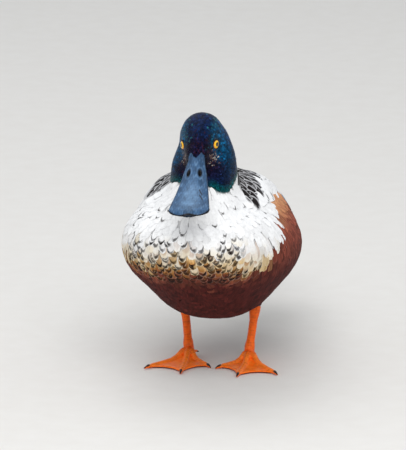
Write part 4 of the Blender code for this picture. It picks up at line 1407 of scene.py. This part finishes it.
def lamp(name, place, width, depth, energy):
    """A soft lamp that looks at the middle of the bird."""
    light = bpy.data.lights.new(name, "AREA")
    light.shape = "RECTANGLE"
    light.size, light.size_y, light.energy = width, depth, energy
    obj = link(bpy.data.objects.new(name, light))
    obj.location = place
    obj.rotation_euler = (Vector((0, 0, 0.1)) - obj.location).to_track_quat("-Z", "Y").to_euler()


def studio():
    """A pale floor, an even sky, a key lamp in front of the bird and a weaker one over its back."""
    world = bpy.context.scene.world or bpy.data.worlds.new("studio")
    bpy.context.scene.world = world
    world.use_nodes = True
    sky = world.node_tree.nodes["Background"]
    sky.inputs["Color"].default_value = (0.93, 0.96, 1.0, 1)
    sky.inputs["Strength"].default_value = 0.62
    bm = bmesh.new()
    bmesh.ops.create_circle(bm, cap_ends=True, segments=96, radius=40.0)
    bmesh.ops.translate(bm, verts=bm.verts, vec=(0, 0, -0.0002))
    floor = object_of("floor", bm)
    floor.data.materials.append(floor_material())
    lamp("key", (0.4, -1.45, 1.45), width=1.4, depth=1.0, energy=23.0)
    lamp("top", (-0.4, 0.5, 1.6), width=1.2, depth=1.2, energy=7.0)


# where the photograph was taken from, in degrees to the bird's left and above it, and in metres
CAMERA_LEFT, CAMERA_ABOVE, CAMERA_DISTANCE = 11.5, 14.0, 5.0
# the photo's width in pixels, what one of them covers at the bird, and the sensor's width in millimetres
PHOTO_WIDTH, PER_PIXEL, SENSOR = 406, 0.745 * MM, 36.0

# the middle of the picture, seen from between the feet
FEET_HEIGHT, AIM_LEFT, AIM_UP = 0.007, 11.9 * MM, 93.6 * MM


def camera():
    """The camera, ahead of the bird with a long lens."""
    azimuth, elevation = math.radians(CAMERA_LEFT), math.radians(CAMERA_ABOVE)
    right = Vector((math.cos(azimuth), math.sin(azimuth), 0))
    raised = math.sin(elevation)
    up = Vector((-math.sin(azimuth) * raised, math.cos(azimuth) * raised, math.cos(elevation)))
    back = right.cross(up)
    feet = Vector((0, LAYOUT[1], FEET_HEIGHT))
    aim = feet - right * AIM_LEFT + up * AIM_UP
    data = bpy.data.cameras.new("camera")
    data.sensor_fit, data.sensor_width = "HORIZONTAL", SENSOR
    data.lens = SENSOR * CAMERA_DISTANCE / (PHOTO_WIDTH * PER_PIXEL)
    data.clip_end = 100.0  # metres, to keep the far floor in view
    eye = link(bpy.data.objects.new("camera", data))
    eye.location = aim + back * CAMERA_DISTANCE
    eye.rotation_euler = (-back).to_track_quat("-Z", "Y").to_euler()
    bpy.context.scene.camera = eye


make_skin()
head_coat()
body_coat()
mantle_coat()
wing_coat("left", 1)
wing_coat("right", -1)
tail_coat()
make_bill()
for word, side in (("left", 1), ("right", -1)):
    make_eye(word, side)
    make_leg(word, side)
bpy.data.objects.remove(hull_object)
studio()
camera()
bpy.context.scene.view_settings.view_transform = "Standard"
